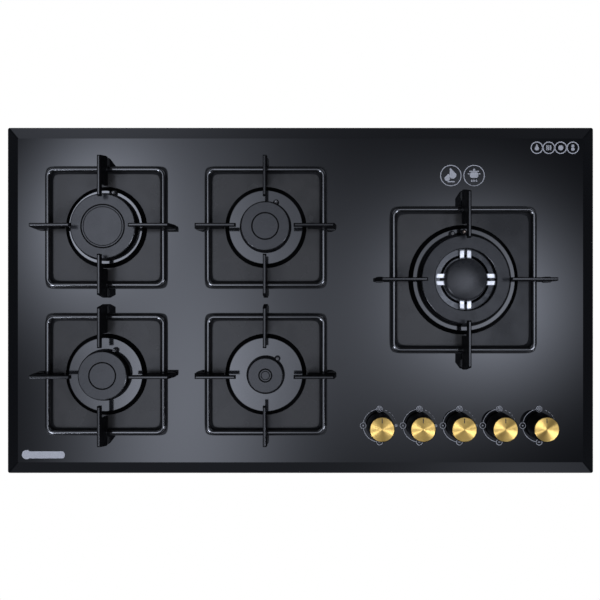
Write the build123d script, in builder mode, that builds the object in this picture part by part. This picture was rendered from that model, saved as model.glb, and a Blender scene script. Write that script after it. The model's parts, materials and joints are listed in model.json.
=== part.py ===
from build123d import *
import os
from math import cos, pi, radians, sin
from typing import NamedTuple

os.makedirs("parts", exist_ok=True)

# A built-in gas cooktop with four round burners in a square and a wok burner on the right.
# Millimetres. The origin is the middle of the cooktop on the worktop's top face, with x to
# the right, y to the back and z up. Everything below z = 0 hangs in the worktop's cut-out.

# ------------------------------------------------------------------ glass, seal and steel box
glass_width = 885.0
glass_depth = 522.0
glass_thickness = 8.0
glass_corner = 3.0
bevel_width = 17.5
edge_land = 2.5

seal_thickness = 2.0
seal_width = 8.0
seal_inset = 4.0

glass_bottom = seal_thickness
glass_top = glass_bottom + glass_thickness

sheet = 0.8
box_width = 824.0
box_front = -228.0
box_back = 222.0
box_bottom = -60.0
box_corner = 15.0
box_floor = box_bottom + sheet
flange_width = 850.0
flange_depth = 490.0
frame_gap = 0.1
louvre_length = 34.0
louvre_width = 4.0
louvre_pitch = 12.0
louvre_count = 7

# ------------------------------------------------------------------ burners
# The plate under each burner stands a little above the glass, and the cup's rim sits on it.
plate_height = 5.0
plate_sheet = 0.8
rim_slope = 6.5
plate_top = glass_top + plate_height
cup_rim_thickness = 2.0
crown_seat = plate_top + cup_rim_thickness
crown_base = 2.5
cup_wall = 2.5
hub_radius = 16.0
boss_radius = 9.0
boss_bottom = -46.0
bridge_top = -22.0
bridge_sheet = 1.2
bridge_width = 60.0
bridge_end = 205.0
bridge_foot = 12.0
moving_gap = 0.35
groove_width = 1.8
groove_depth = 0.8
fine_groove_width = 1.2
fine_groove_depth = 0.4
port_pitch = 7.0
port_width = 2.6
ring_wall = 7.0
venturi_outer = 9.0
venturi_inner = 6.5
venturi_bottom = -4.0
lobe_radius = 4.5
ceramic_radius = 2.4
pin_radius = 0.9
notch_radius = 3.4

# ------------------------------------------------------------------ pan supports
support_height = 40.0
support_top = glass_top + support_height
finger_thickness = 5.0
finger_round = 1.9
arm_depth = 9.0
foot_height = 3.0
foot_length = 14.0
foot_width = 9.0
foot_grip = 2.0
rod_radius = 4.0
rod_height = glass_top + 5.0
rod_corner = 10.0

# ------------------------------------------------------------------ gas line and taps
knob_y = -188.3
knob_pitch = 60.0
first_knob_x = 119.0
knob_count = 5
gas_level = -38.0
rail_y = -213.0
rail_radius = 7.0
rail_bore = 5.6
rail_start = 95.0
rail_right = 386.0
rail_end = 200.0
rail_socket = 8.0
rail_bend = 16.0
pipe_radius = 4.0
pipe_bore = 3.0
pipe_bend = 18.0
stub_radius = 6.5
stub_length = 22.0
gas_way = 2.5
nut_length = 8.0
nut_radius = 7.5
tap_half_width = 11.0
tap_half_depth = 12.0
tap_floor = -46.0
tap_lid = -10.0
tap_lid_thickness = 2.0
tap_outlet_y = -170.0
plug_top = -18.0
plug_bottom = -43.0
plug_top_radius = 6.5
plug_bottom_radius = 5.5
plug_gap = 0.05
spindle_radius = 3.0
spindle_flat = 2.2
spindle_bottom = -27.0
spindle_top = 33.0
collar_radius = 6.0
collar_height = 2.0
push_travel = 3.5
inlet_thread_radius = 20.955 / 2
inlet_thread_length = 14.0
inlet_body = 9.5
inlet_flange = 3.0
inlet_flange_width = 28.0
inlet_flange_height = 40.0
inlet_screw_spacing = 32.0
inlet_screw = 1.5
gland_x = 320.0
gland_z = -32.0
gland_bore = 3.75
gland_neck = 8.0
gland_collar = 11.0
gland_collar_depth = 5.0
gland_nut = 10.0
gland_nut_depth = 8.0
wall_hole_gap = 0.1

# ------------------------------------------------------------------ knobs
knob_foot = 14.5
knob_foot_radius = 20.0
knob_top_radius = 18.6
knob_rim = 40.0
knob_roof = 35.0
disc_radius = 17.75
disc_seat = 38.6
disc_thickness = 2.0
pointer_width = 1.3
pointer_length = 7.0
seal_bore = 3.5
seal_sleeve = 8.0
seal_flange = 10.5

# ------------------------------------------------------------------ ignition
spark_bottom = -12.0
lead_level = -30.0
lead_radius = 1.3
lead_bend = 8.0
lead_pitch = 6.0
module_x = 320.0
module_y = 184.0
module_width = 60.0
module_depth = 38.0
module_top = -24.0

# ------------------------------------------------------------------ worktop clamps
clamp_width = 18.0
clamp_sheet = 1.5
clamp_reach = 24.0
clamp_arm = -42.5
clamp_leg_end = -56.0
clamp_screw_z = -50.0
clamp_screw_radius = 2.0
clamp_bolt_radius = 2.5
clamp_bolt_reach = 14.0
clamp_bolt_tip = -32.0
clamp_bolt_head = -52.0
clamp_pad_radius = 4.0


class Burner(NamedTuple):
    """One burner: its place, its cap, the plate around it and where its spark plug stands."""

    name: str
    x: float
    y: float
    cap_radius: float
    cap_height: float
    cap_thickness: float
    groove_radius: float
    plate_radius: float
    body_radius: float
    spark_radius: float
    spark_angle: float
    stub_angle: float
    fine_groove_radius: float = 0.0


left_x = -291.5
centre_x = -52.0
rear_y = 109.5
front_y = -111.0
small_plate = 61.0

rear_left = Burner(
    "rear_left", left_x, rear_y, 48.6, 20.0, 5.0, 31.8, small_plate, 43.0, 52.4, 75, 0, 28.6
)
front_left = Burner("front_left", left_x, front_y, 36.5, 22.0, 5.0, 19.6, small_plate, 30.5, 40.0, 67, -90)
rear_centre = Burner("rear_centre", centre_x, rear_y, 36.5, 22.0, 5.0, 19.5, small_plate, 30.5, 40.0, 67, 0)
front_centre = Burner(
    "front_centre", centre_x, front_y, 26.6, 17.0, 4.0, 9.4, small_plate, 20.6, 30.0, 54, 0, 6.2
)
wok = Burner("wok", 244.5, 31.0, 66.0, 17.5, 4.0, 45.4, 82.4, 60.0, 71.0, 105, 0)

small_burners = [rear_left, front_left, rear_centre, front_centre]
burners = small_burners + [wok]

# The wok burner has a second, inner ring of flame under its own cap, and a flame sensor.
wok_cap_hole = wok.groove_radius
wok_well_outer = 47.0
wok_inner_ring = 29.5
wok_inner_cap_radius = 31.0
wok_inner_cap_top = glass_top + 21.0
wok_inner_cap_thickness = 5.0
wok_inner_cap_crown = 1.2
wok_rib_width = 6.6
wok_rib_spacing = 10.5
wok_rib_top = glass_top + 15.0
sensor_radius = 71.0
sensor_angle = 90.5

knob_xs = [first_knob_x + knob_pitch * index for index in range(knob_count)]


# ------------------------------------------------------------------ shared steps
def save(piece, label):
    """Label a finished piece and write its file."""
    piece.label = label
    export_step(piece, f"parts/{label}.step")


def upright(x, y, angle=0.0):
    """An upright plane through x, y: its first axis points out at the angle, its second up."""
    turn_by = radians(angle)
    outward = (cos(turn_by), sin(turn_by), 0)
    return Plane((x, y, 0), x_dir=outward, z_dir=(sin(turn_by), -cos(turn_by), 0))


def turned(outline, x=0.0, y=0.0, mode=Mode.ADD):
    """Turn an outline of (radius, height) points about the upright axis at x, y."""
    with BuildSketch(upright(x, y)) as profile:
        with BuildLine():
            Polyline(*outline, close=True)
        make_face()
    revolve(profile.sketch, axis=Axis((x, y, 0), (0, 0, 1)), mode=mode)


def post(x, y, radius, low, high, mode=Mode.ADD):
    """A round upright post or hole between two heights."""
    with BuildSketch(Plane((x, y, low))) as section:
        Circle(radius)
    extrude(section.sketch, amount=high - low, mode=mode)


def bar(start, direction, radius, length, mode=Mode.ADD):
    """A round bar or bore from a start point along a direction."""
    with BuildSketch(Plane(start, z_dir=direction)) as section:
        Circle(radius)
    extrude(section.sketch, amount=length, mode=mode)


def hex_nut(start, direction, radius, bore, length):
    """A hexagonal nut with its bore, from a start point along a direction."""
    with BuildSketch(Plane(start, z_dir=direction)) as section:
        RegularPolygon(radius, 6)
        Circle(bore, mode=Mode.SUBTRACT)
    extrude(section.sketch, amount=length)


def out_from(burner, radius, angle):
    """The point at a radius and angle from a burner's centre."""
    turn_by = radians(angle)
    return burner.x + radius * cos(turn_by), burner.y + radius * sin(turn_by)


def spark_point(burner):
    return out_from(burner, burner.spark_radius, burner.spark_angle)


def cap_bottom(burner):
    return glass_top + burner.cap_height - burner.cap_thickness


def tube(points, outer, bore, bend):
    """A bent tube along a route of straight runs joined by bends."""
    with BuildLine() as route:
        FilletPolyline(*points, radius=bend)
    with BuildSketch(Plane(route.line @ 0, z_dir=route.line % 0)) as section:
        Circle(outer)
        if bore:
            Circle(bore, mode=Mode.SUBTRACT)
    sweep(section.sketch, path=route.line)


sensor_x, sensor_y = out_from(wok, sensor_radius, sensor_angle)

# ------------------------------------------------------------------ glass panel
with BuildPart() as glass_panel:
    with BuildSketch(Plane.XY.offset(glass_bottom)):
        RectangleRounded(glass_width, glass_depth, glass_corner)
    extrude(amount=edge_land)
    with BuildSketch(Plane.XY.offset(glass_bottom + edge_land)):
        RectangleRounded(glass_width, glass_depth, glass_corner)
    with BuildSketch(Plane.XY.offset(glass_top)):
        RectangleRounded(glass_width - 2 * bevel_width, glass_depth - 2 * bevel_width, 1.0)
    loft()
    for burner in burners:
        hole = burner.spark_radius + lobe_radius
        post(burner.x, burner.y, hole, glass_bottom, glass_top, Mode.SUBTRACT)
    for knob_x in knob_xs:
        post(knob_x, knob_y, seal_sleeve, glass_bottom, glass_top, Mode.SUBTRACT)
save(glass_panel.part, "glass_panel")

# ------------------------------------------------------------------ foam seal on the worktop
with BuildPart() as worktop_seal:
    with BuildSketch():
        RectangleRounded(glass_width - 2 * seal_inset, glass_depth - 2 * seal_inset, glass_corner)
        inner_inset = seal_inset + seal_width
        RectangleRounded(
            glass_width - 2 * inner_inset,
            glass_depth - 2 * inner_inset,
            glass_corner,
            mode=Mode.SUBTRACT,
        )
    extrude(amount=seal_thickness)
save(worktop_seal.part, "worktop_seal")

# ------------------------------------------------------------------ where the clamps sit
# Each clamp is a wall point and the direction that points away from the box.
clamp_places = [(x, box_front, -90) for x in (-300.0, 300.0)]
clamp_places += [(x, box_back, 90) for x in (-300.0, 200.0)]
clamp_places += [(box_width / 2, 0.0, 0), (-box_width / 2, 0.0, 180)]


def wall_point(place, reach, height):
    """The point at a reach out from a clamp's wall point, at a height."""
    x, y, angle = place
    turn_by = radians(angle)
    return x + reach * cos(turn_by), y + reach * sin(turn_by), height


def wall_outward(place):
    turn_by = radians(place[2])
    return cos(turn_by), sin(turn_by), 0


# ------------------------------------------------------------------ where the bridges stand
# Each bridge is its middle x and the y of its two legs.
bridge_places = [
    (left_x, -bridge_end, bridge_end),
    (centre_x, -bridge_end, bridge_end),
    (wok.x, -50.0, bridge_end),
]
foot_screw_spacing = 36.0
cup_screw_reach = 12.8
screw_radius = 1.75


def foot_screws():
    """The x, y of every screw that holds a bridge foot down."""
    for x, front, back in bridge_places:
        for y in (front - bridge_foot / 2, back + bridge_foot / 2):
            yield x - foot_screw_spacing / 2, y
            yield x + foot_screw_spacing / 2, y


# ------------------------------------------------------------------ burner box
# A pressed tray, and the flat frame on its rim that the glass is glued to.
with BuildPart() as burner_box:
    with BuildSketch(Plane((0, (box_front + box_back) / 2, box_bottom))):
        RectangleRounded(box_width, box_back - box_front, box_corner)
    extrude(amount=glass_bottom - box_bottom)
    fillet(burner_box.edges().group_by(Axis.Z)[0], 4)
    offset(amount=-sheet, openings=burner_box.faces().sort_by(Axis.Z)[-1])
    with BuildSketch(Plane.XY.offset(glass_bottom - sheet)):
        RectangleRounded(flange_width, flange_depth, box_corner)
        with Locations((0, (box_front + box_back) / 2)):
            RectangleRounded(
                box_width + 2 * frame_gap,
                box_back - box_front + 2 * frame_gap,
                box_corner + frame_gap,
                mode=Mode.SUBTRACT,
            )
    extrude(amount=sheet)
    with BuildSketch(Plane.XY.offset(box_bottom)):
        for louvre_x in (-172.0, 90.0, 300.0):
            with Locations((louvre_x, -30)):
                with GridLocations(0, louvre_pitch, 1, louvre_count):
                    SlotOverall(louvre_length, louvre_width)
    extrude(amount=sheet, mode=Mode.SUBTRACT)
    for x, y in foot_screws():
        post(x, y, screw_radius, box_bottom, box_floor, Mode.SUBTRACT)
    for place in clamp_places:
        inside = wall_point(place, -sheet, clamp_screw_z)
        bar(inside, wall_outward(place), clamp_screw_radius, sheet, Mode.SUBTRACT)
    wall_inside = box_back - sheet
    inlet_hole = inlet_body + wall_hole_gap
    bar((rail_right, wall_inside, gas_level), (0, 1, 0), inlet_hole, sheet, Mode.SUBTRACT)
    bar((gland_x, wall_inside, gland_z), (0, 1, 0), gland_neck, sheet, Mode.SUBTRACT)
save(burner_box.part, "burner_box")

# ------------------------------------------------------------------ bridges under the burners
with BuildPart() as burner_bridges:
    for x, front, back in bridge_places:
        low = box_floor
        step = bridge_sheet
        outline = [
            (front - bridge_foot, low),
            (front + step, low),
            (front + step, bridge_top - step),
            (back - step, bridge_top - step),
            (back - step, low),
            (back + bridge_foot, low),
            (back + bridge_foot, low + step),
            (back, low + step),
            (back, bridge_top),
            (front, bridge_top),
            (front, low + step),
            (front - bridge_foot, low + step),
        ]
        with BuildSketch(Plane.YZ.offset(x)):
            with BuildLine():
                Polyline(*outline, close=True)
            make_face()
        extrude(amount=bridge_width / 2, both=True)
    for x, y in foot_screws():
        post(x, y, screw_radius, box_floor, box_floor + 3, Mode.SUBTRACT)
    for burner in burners:
        post(burner.x, burner.y, boss_radius + 0.5, bridge_top - 3, bridge_top, Mode.SUBTRACT)
        for side in (-1, 1):
            screw_y = burner.y + side * cup_screw_reach
            post(burner.x, screw_y, screw_radius, bridge_top - 3, bridge_top, Mode.SUBTRACT)
        post(*spark_point(burner), 3.0, bridge_top - 3, bridge_top, Mode.SUBTRACT)
    post(sensor_x, sensor_y, 3.0, bridge_top - 3, bridge_top, Mode.SUBTRACT)
save(burner_bridges.part, "burner_bridges")

# ------------------------------------------------------------------ plates around the burners
with BuildPart() as drip_rings:
    for burner in burners:
        outer = burner.plate_radius
        hole = burner.body_radius + 0.4
        turned(
            [
                (hole, plate_top - plate_sheet),
                (outer - rim_slope - 0.5, plate_top - plate_sheet),
                (outer - 1.6, glass_top),
                (outer, glass_top),
                (outer, glass_top + 0.6),
                (outer - rim_slope, plate_top),
                (hole, plate_top),
            ],
            burner.x,
            burner.y,
        )
        post(*spark_point(burner), lobe_radius - 0.4, glass_top, plate_top, Mode.SUBTRACT)
    post(sensor_x, sensor_y, lobe_radius - 0.4, glass_top, plate_top, Mode.SUBTRACT)
save(drip_rings.part, "drip_rings")

# ------------------------------------------------------------------ burner cups
sleeve_radius = lobe_radius - 0.9
with BuildPart() as burner_cups:
    for burner in burners:
        rim = burner.cap_radius + 1.0
        body = burner.body_radius
        inside = body - cup_wall
        turned(
            [
                (0, boss_bottom),
                (boss_radius - 1, boss_bottom),
                (boss_radius, boss_bottom + 1),
                (boss_radius, bridge_top),
                (hub_radius, bridge_top),
                (hub_radius, -8),
                (body, -4),
                (body, plate_top),
                (rim, plate_top),
                (rim, crown_seat - 0.5),
                (rim - 0.5, crown_seat),
                (inside, crown_seat),
                (inside, -1),
                (11, -5),
                (11, -20),
                (0, -20),
            ],
            burner.x,
            burner.y,
        )
        lobes = [spark_point(burner)]
        if burner is wok:
            lobes.append((sensor_x, sensor_y))
        for lobe in lobes:
            post(*lobe, lobe_radius, plate_top, crown_seat)
            post(*lobe, sleeve_radius, glass_bottom, plate_top)
            post(*lobe, ceramic_radius, glass_bottom - 1, crown_seat + 1, Mode.SUBTRACT)
        turn_by = radians(burner.stub_angle)
        outward = (cos(turn_by), sin(turn_by), 0)
        bar((burner.x, burner.y, gas_level), outward, stub_radius, stub_length)
        bar((burner.x, burner.y, gas_level), outward, gas_way, stub_length, Mode.SUBTRACT)
        post(burner.x, burner.y, gas_way, gas_level, -19, Mode.SUBTRACT)
        for side in (-1, 1):
            screw_y = burner.y + side * cup_screw_reach
            post(burner.x, screw_y, screw_radius, bridge_top, bridge_top + 8, Mode.SUBTRACT)
save(burner_cups.part, "burner_cups")

# ------------------------------------------------------------------ injectors in the cups
with BuildPart() as injectors:
    for burner in burners:
        post(burner.x, burner.y, gas_way, -26, -20)
        with BuildSketch(Plane((burner.x, burner.y, -20))):
            RegularPolygon(5.0, 6)
        extrude(amount=6)
        post(burner.x, burner.y, 2.6, -14, -11)
        post(burner.x, burner.y, 0.6, -26, -10, Mode.SUBTRACT)
save(injectors.part, "injectors")


# ------------------------------------------------------------------ crowns of the small burners
def burner_crown(burner):
    ring = burner.cap_radius - 1.5
    edge = burner.cap_radius + 2.0
    base_top = crown_seat + crown_base
    ring_top = cap_bottom(burner)
    skirt = burner.body_radius - cup_wall - moving_gap
    skirt_bottom = crown_seat - 8
    port_count = round(2 * pi * ring / port_pitch)
    port_height = 0.62 * (ring_top - base_top)
    with BuildPart() as crown:
        turned(
            [
                (venturi_inner, venturi_bottom),
                (venturi_outer, venturi_bottom),
                (venturi_outer, crown_seat),
                (skirt - 2, crown_seat),
                (skirt - 2, skirt_bottom),
                (skirt, skirt_bottom),
                (skirt, crown_seat),
                (edge, crown_seat),
                (edge, base_top - 1),
                (edge - 1, base_top),
                (ring, base_top),
                (ring, ring_top),
                (ring - ring_wall, ring_top),
                (ring - ring_wall, base_top),
                (venturi_inner, base_top),
            ],
            burner.x,
            burner.y,
        )
        with BuildSketch(Plane((burner.x, burner.y, ring_top - port_height))):
            with PolarLocations(ring - ring_wall / 2, port_count):
                Rectangle(ring_wall + 3, port_width)
        extrude(amount=port_height, mode=Mode.SUBTRACT)
        post(*spark_point(burner), notch_radius, crown_seat, base_top + 1, Mode.SUBTRACT)
    return crown.part


for burner in small_burners:
    save(burner_crown(burner), f"burner_crown_{burner.name}")


# ------------------------------------------------------------------ caps of the small burners
def groove(radius, width, depth, high):
    """The outline of a V groove round a cap, from outside to inside."""
    return [(radius + width / 2, high), (radius, high - depth), (radius - width / 2, high)]


def burner_cap(burner):
    low = cap_bottom(burner)
    high = low + burner.cap_thickness
    spigot = burner.cap_radius - 1.5 - ring_wall - moving_gap
    grooves = groove(burner.groove_radius, groove_width, groove_depth, high)
    if burner.fine_groove_radius:
        grooves += groove(burner.fine_groove_radius, fine_groove_width, fine_groove_depth, high)
    with BuildPart() as cap:
        turned(
            [
                (0, low),
                (spigot - 2, low),
                (spigot - 2, low - 2.5),
                (spigot, low - 2.5),
                (spigot, low),
                (burner.cap_radius - 0.5, low),
                (burner.cap_radius, low + 0.5),
                (burner.cap_radius, high - 1.8),
                (burner.cap_radius - 0.6, high - 0.6),
                (burner.cap_radius - 1.8, high),
                *grooves,
                (0, high),
            ],
            burner.x,
            burner.y,
        )
    return cap.part


for burner in small_burners:
    save(burner_cap(burner), f"burner_cap_{burner.name}")

# ------------------------------------------------------------------ wok crown
# One casting: an outer chamber with ports both ways, a centre chamber, and four pairs of
# ribs across the open well between them.
wok_ring = wok.cap_radius - 1.5
wok_base_top = crown_seat + crown_base
wok_ring_top = cap_bottom(wok)
wok_centre_top = wok_inner_cap_top - wok_inner_cap_thickness
wok_skirt = wok.body_radius - cup_wall - moving_gap
wok_port_height = 0.62 * (wok_ring_top - wok_base_top)
centre_port_height = 3.6
inner_wall = 4.0
with BuildPart() as burner_crown_wok:
    turned(
        [
            (venturi_inner, venturi_bottom),
            (venturi_outer, venturi_bottom),
            (venturi_outer, crown_seat),
            (wok_skirt - 2, crown_seat),
            (wok_skirt - 2, crown_seat - 8),
            (wok_skirt, crown_seat - 8),
            (wok_skirt, crown_seat),
            (wok.cap_radius + 2, crown_seat),
            (wok.cap_radius + 2, wok_base_top - 1),
            (wok.cap_radius + 1, wok_base_top),
            (wok_ring, wok_base_top),
            (wok_ring, wok_ring_top),
            (wok_ring - ring_wall, wok_ring_top),
            (wok_ring - ring_wall, wok_base_top),
            (wok_well_outer + inner_wall, wok_base_top),
            (wok_well_outer + inner_wall, wok_ring_top),
            (wok_well_outer, wok_ring_top),
            (wok_well_outer, wok_base_top),
            (37, wok_base_top),
            (35, wok_base_top + 2.2),
            (33, wok_base_top),
            (wok_inner_ring, wok_base_top),
            (wok_inner_ring, wok_centre_top),
            (wok_inner_ring - inner_wall, wok_centre_top),
            (wok_inner_ring - inner_wall, wok_base_top),
            (venturi_inner, wok_base_top),
        ],
        wok.x,
        wok.y,
    )
    rib_length = wok_well_outer - wok_inner_ring + 2
    rib_middle = (wok_well_outer + wok_inner_ring) / 2
    with BuildSketch(Plane((wok.x, wok.y, wok_base_top))):
        with PolarLocations(rib_middle, 4):
            with GridLocations(0, wok_rib_spacing, 1, 2):
                Rectangle(rib_length, wok_rib_width)
        Circle(wok_inner_ring - 0.5, mode=Mode.SUBTRACT)
        with BuildSketch(mode=Mode.INTERSECT):
            Circle(wok_well_outer + 0.5)
    extrude(amount=wok_ring_top - wok_base_top)
    with BuildSketch(Plane((wok.x, wok.y, wok_ring_top))):
        with PolarLocations(rib_middle, 4):
            with GridLocations(0, wok_rib_spacing, 1, 2):
                Rectangle(rib_length, wok_rib_width)
        Circle(wok_inner_ring - 0.5, mode=Mode.SUBTRACT)
        with BuildSketch(mode=Mode.INTERSECT):
            Circle(wok_cap_hole - 0.6)
    extrude(amount=wok_rib_top - wok_ring_top)
    with BuildSketch(Plane((wok.x, wok.y, wok_ring_top - wok_port_height))):
        with PolarLocations(wok_ring - ring_wall / 2, round(2 * pi * wok_ring / port_pitch)):
            Rectangle(ring_wall + 3, port_width)
        with PolarLocations(wok_well_outer + inner_wall / 2, 40, start_angle=4.5):
            Rectangle(inner_wall + 1, port_width)
    extrude(amount=wok_port_height, mode=Mode.SUBTRACT)
    with BuildSketch(Plane((wok.x, wok.y, wok_centre_top - centre_port_height))):
        with PolarLocations(wok_inner_ring - inner_wall / 2, 24, start_angle=7.5):
            Rectangle(inner_wall + 1, port_width)
    extrude(amount=centre_port_height, mode=Mode.SUBTRACT)
    for notch in (spark_point(wok), (sensor_x, sensor_y)):
        post(*notch, notch_radius, crown_seat, wok_base_top + 1, Mode.SUBTRACT)
save(burner_crown_wok.part, "burner_crown_wok")

# ------------------------------------------------------------------ wok caps
cap_high = glass_top + wok.cap_height
outer_spigot = wok_ring - ring_wall - moving_gap
with BuildPart() as burner_cap_wok:
    turned(
        [
            (wok_cap_hole, wok_ring_top),
            (outer_spigot - 1.6, wok_ring_top),
            (outer_spigot - 1.6, wok_ring_top - 2.5),
            (outer_spigot, wok_ring_top - 2.5),
            (outer_spigot, wok_ring_top),
            (wok.cap_radius - 0.5, wok_ring_top),
            (wok.cap_radius, wok_ring_top + 0.5),
            (wok.cap_radius, cap_high - 1.8),
            (wok.cap_radius - 0.6, cap_high - 0.6),
            (wok.cap_radius - 1.8, cap_high),
            (wok_cap_hole + 1.4, cap_high),
            (wok_cap_hole + 0.4, cap_high - 0.5),
            (wok_cap_hole, cap_high - 1.4),
        ],
        wok.x,
        wok.y,
    )
save(burner_cap_wok.part, "burner_cap_wok")

centre_spigot = wok_inner_ring - inner_wall - moving_gap
inner_cap_edge = [
    (0, wok_centre_top),
    (centre_spigot - 2, wok_centre_top),
    (centre_spigot - 2, wok_centre_top - 2.5),
    (centre_spigot, wok_centre_top - 2.5),
    (centre_spigot, wok_centre_top),
    (wok_inner_cap_radius - 0.5, wok_centre_top),
    (wok_inner_cap_radius, wok_centre_top + 0.5),
    (wok_inner_cap_radius, wok_inner_cap_top - 2.4),
    (wok_inner_cap_radius - 0.8, wok_inner_cap_top - 0.9),
    (wok_inner_cap_radius - 2.6, wok_inner_cap_top),
]
dome_foot = wok_inner_cap_radius - 2.6
dome_top = wok_inner_cap_top + wok_inner_cap_crown
dome_ball = (dome_foot**2 + wok_inner_cap_crown**2) / (2 * wok_inner_cap_crown)
with BuildPart() as wok_inner_cap:
    with BuildSketch(upright(wok.x, wok.y)) as profile:
        with BuildLine():
            Polyline(*inner_cap_edge)
            RadiusArc((dome_foot, wok_inner_cap_top), (0, dome_top), -dome_ball)
            Line((0, dome_top), (0, wok_centre_top))
        make_face()
    revolve(profile.sketch, axis=Axis((wok.x, wok.y, 0), (0, 0, 1)))
save(wok_inner_cap.part, "wok_inner_cap")


# ------------------------------------------------------------------ pan supports
class Support(NamedTuple):
    """One pan support: half its rod square, and how far out its fingers start, step and end."""

    half_frame: float
    tip: float
    knee: float
    top_end: float
    end: float
    foot: float


small_support = Support(86.3, tip=42.0, knee=62.5, top_end=101.0, end=105.5, foot=98.0)
wok_support = Support(104.8, tip=60.0, knee=83.5, top_end=128.0, end=134.0, foot=125.5)
finger_low = glass_top + foot_height


def finger(support):
    """One finger: a flat plate on edge, thin towards the burner and deep over the rod."""
    under = support_top - arm_depth
    with BuildPart() as plate:
        with BuildSketch(upright(0, 0)):
            with BuildLine():
                Polyline(
                    (support.tip, under),
                    (support.tip, support_top - 2),
                    (support.tip + 2, support_top),
                    (support.top_end - 2, support_top),
                    (support.top_end, support_top - 2),
                    (support.end, finger_low + 8),
                    (support.end, finger_low),
                    (support.knee, finger_low),
                    (support.knee, under - 5),
                    (support.knee - 5, under),
                    close=True,
                )
            make_face()
        extrude(amount=finger_thickness / 2, both=True)
        top = plate.faces().filter_by(Plane.XY).sort_by(Axis.Z)[-1]
        fillet(top.edges().filter_by(Axis.X), finger_round)
    return plate.part


def pan_support(burner, support, plate):
    half = support.half_frame
    corners = [(-half, -half), (half, -half), (half, half), (-half, half)]
    points = [(burner.x + x, burner.y + y, rod_height) for x, y in corners]
    with BuildPart() as frame:
        with BuildLine() as rod:
            FilletPolyline(*points, radius=rod_corner, close=True)
        with BuildSketch(Plane(rod.line @ 0, z_dir=rod.line % 0)):
            Circle(rod_radius)
        sweep(path=rod.line)
        with Locations((burner.x, burner.y, 0)):
            with PolarLocations(0, 4):
                add(plate)
    return frame.part


def support_feet(burner, support):
    """The four rubber feet, each gripping the lower edge of a finger."""
    with BuildPart() as feet:
        for angle in (0, 90, 180, 270):
            x, y = out_from(burner, support.foot, angle)
            outward = (cos(radians(angle)), sin(radians(angle)), 0)
            with BuildSketch(Plane((x, y, glass_top), x_dir=outward)):
                SlotOverall(foot_length, foot_width)
            extrude(amount=foot_height + foot_grip)
            with BuildSketch(Plane((x, y, finger_low), x_dir=outward)):
                Rectangle(foot_length + 2, finger_thickness)
            extrude(amount=foot_grip, mode=Mode.SUBTRACT)
    return feet.part


small_finger = finger(small_support)
wok_finger = finger(wok_support)
for burner in small_burners:
    save(pan_support(burner, small_support, small_finger), f"pan_support_{burner.name}")
    save(support_feet(burner, small_support), f"pan_support_feet_{burner.name}")
save(pan_support(wok, wok_support, wok_finger), "pan_support_wok")
save(support_feet(wok, wok_support), "pan_support_feet_wok")

# ------------------------------------------------------------------ gas rail
with BuildPart() as gas_rail:
    rail_route = [
        (rail_start, rail_y, gas_level),
        (rail_right, rail_y, gas_level),
        (rail_right, rail_end, gas_level),
    ]
    tube(rail_route, rail_radius, rail_bore, rail_bend)
    bar((rail_start, rail_y, gas_level), (-1, 0, 0), rail_radius, 2.5)
save(gas_rail.part, "gas_rail")

# ------------------------------------------------------------------ gas inlet fitting
with BuildPart() as gas_inlet:
    socket_start = (rail_right, rail_end - rail_socket, gas_level)
    bar(socket_start, (0, 1, 0), inlet_body, box_back - rail_end + rail_socket)
    flange_plane = Plane((rail_right, box_back, gas_level), x_dir=(1, 0, 0), z_dir=(0, 1, 0))
    with BuildSketch(flange_plane):
        RectangleRounded(inlet_flange_width, inlet_flange_height, 5)
    extrude(amount=inlet_flange)
    thread_start = (rail_right, box_back + inlet_flange, gas_level)
    bar(thread_start, (0, 1, 0), inlet_thread_radius, inlet_thread_length)
    chamfer(gas_inlet.edges().group_by(Axis.Y)[-1], 1.0)
    bar(socket_start, (0, 1, 0), rail_radius, rail_socket, Mode.SUBTRACT)
    bar((rail_right, rail_end, gas_level), (0, 1, 0), rail_bore, 60, Mode.SUBTRACT)
    for side in (-1, 1):
        screw_start = (rail_right, box_back, gas_level + side * inlet_screw_spacing / 2)
        bar(screw_start, (0, 1, 0), inlet_screw, inlet_flange, Mode.SUBTRACT)
save(gas_inlet.part, "gas_inlet")

# ------------------------------------------------------------------ cable gland, left open
with BuildPart() as cable_gland:
    gland_start = (gland_x, box_back - sheet - gland_nut_depth, gland_z)
    gland_depth = gland_nut_depth + sheet + gland_collar_depth
    bar((gland_x, box_back, gland_z), (0, 1, 0), gland_collar, gland_collar_depth)
    bar((gland_x, box_back - sheet, gland_z), (0, 1, 0), gland_neck, sheet)
    bar(gland_start, (0, 1, 0), gland_nut, gland_nut_depth)
    bar(gland_start, (0, 1, 0), gland_bore, gland_depth, Mode.SUBTRACT)
save(cable_gland.part, "cable_gland")

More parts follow.
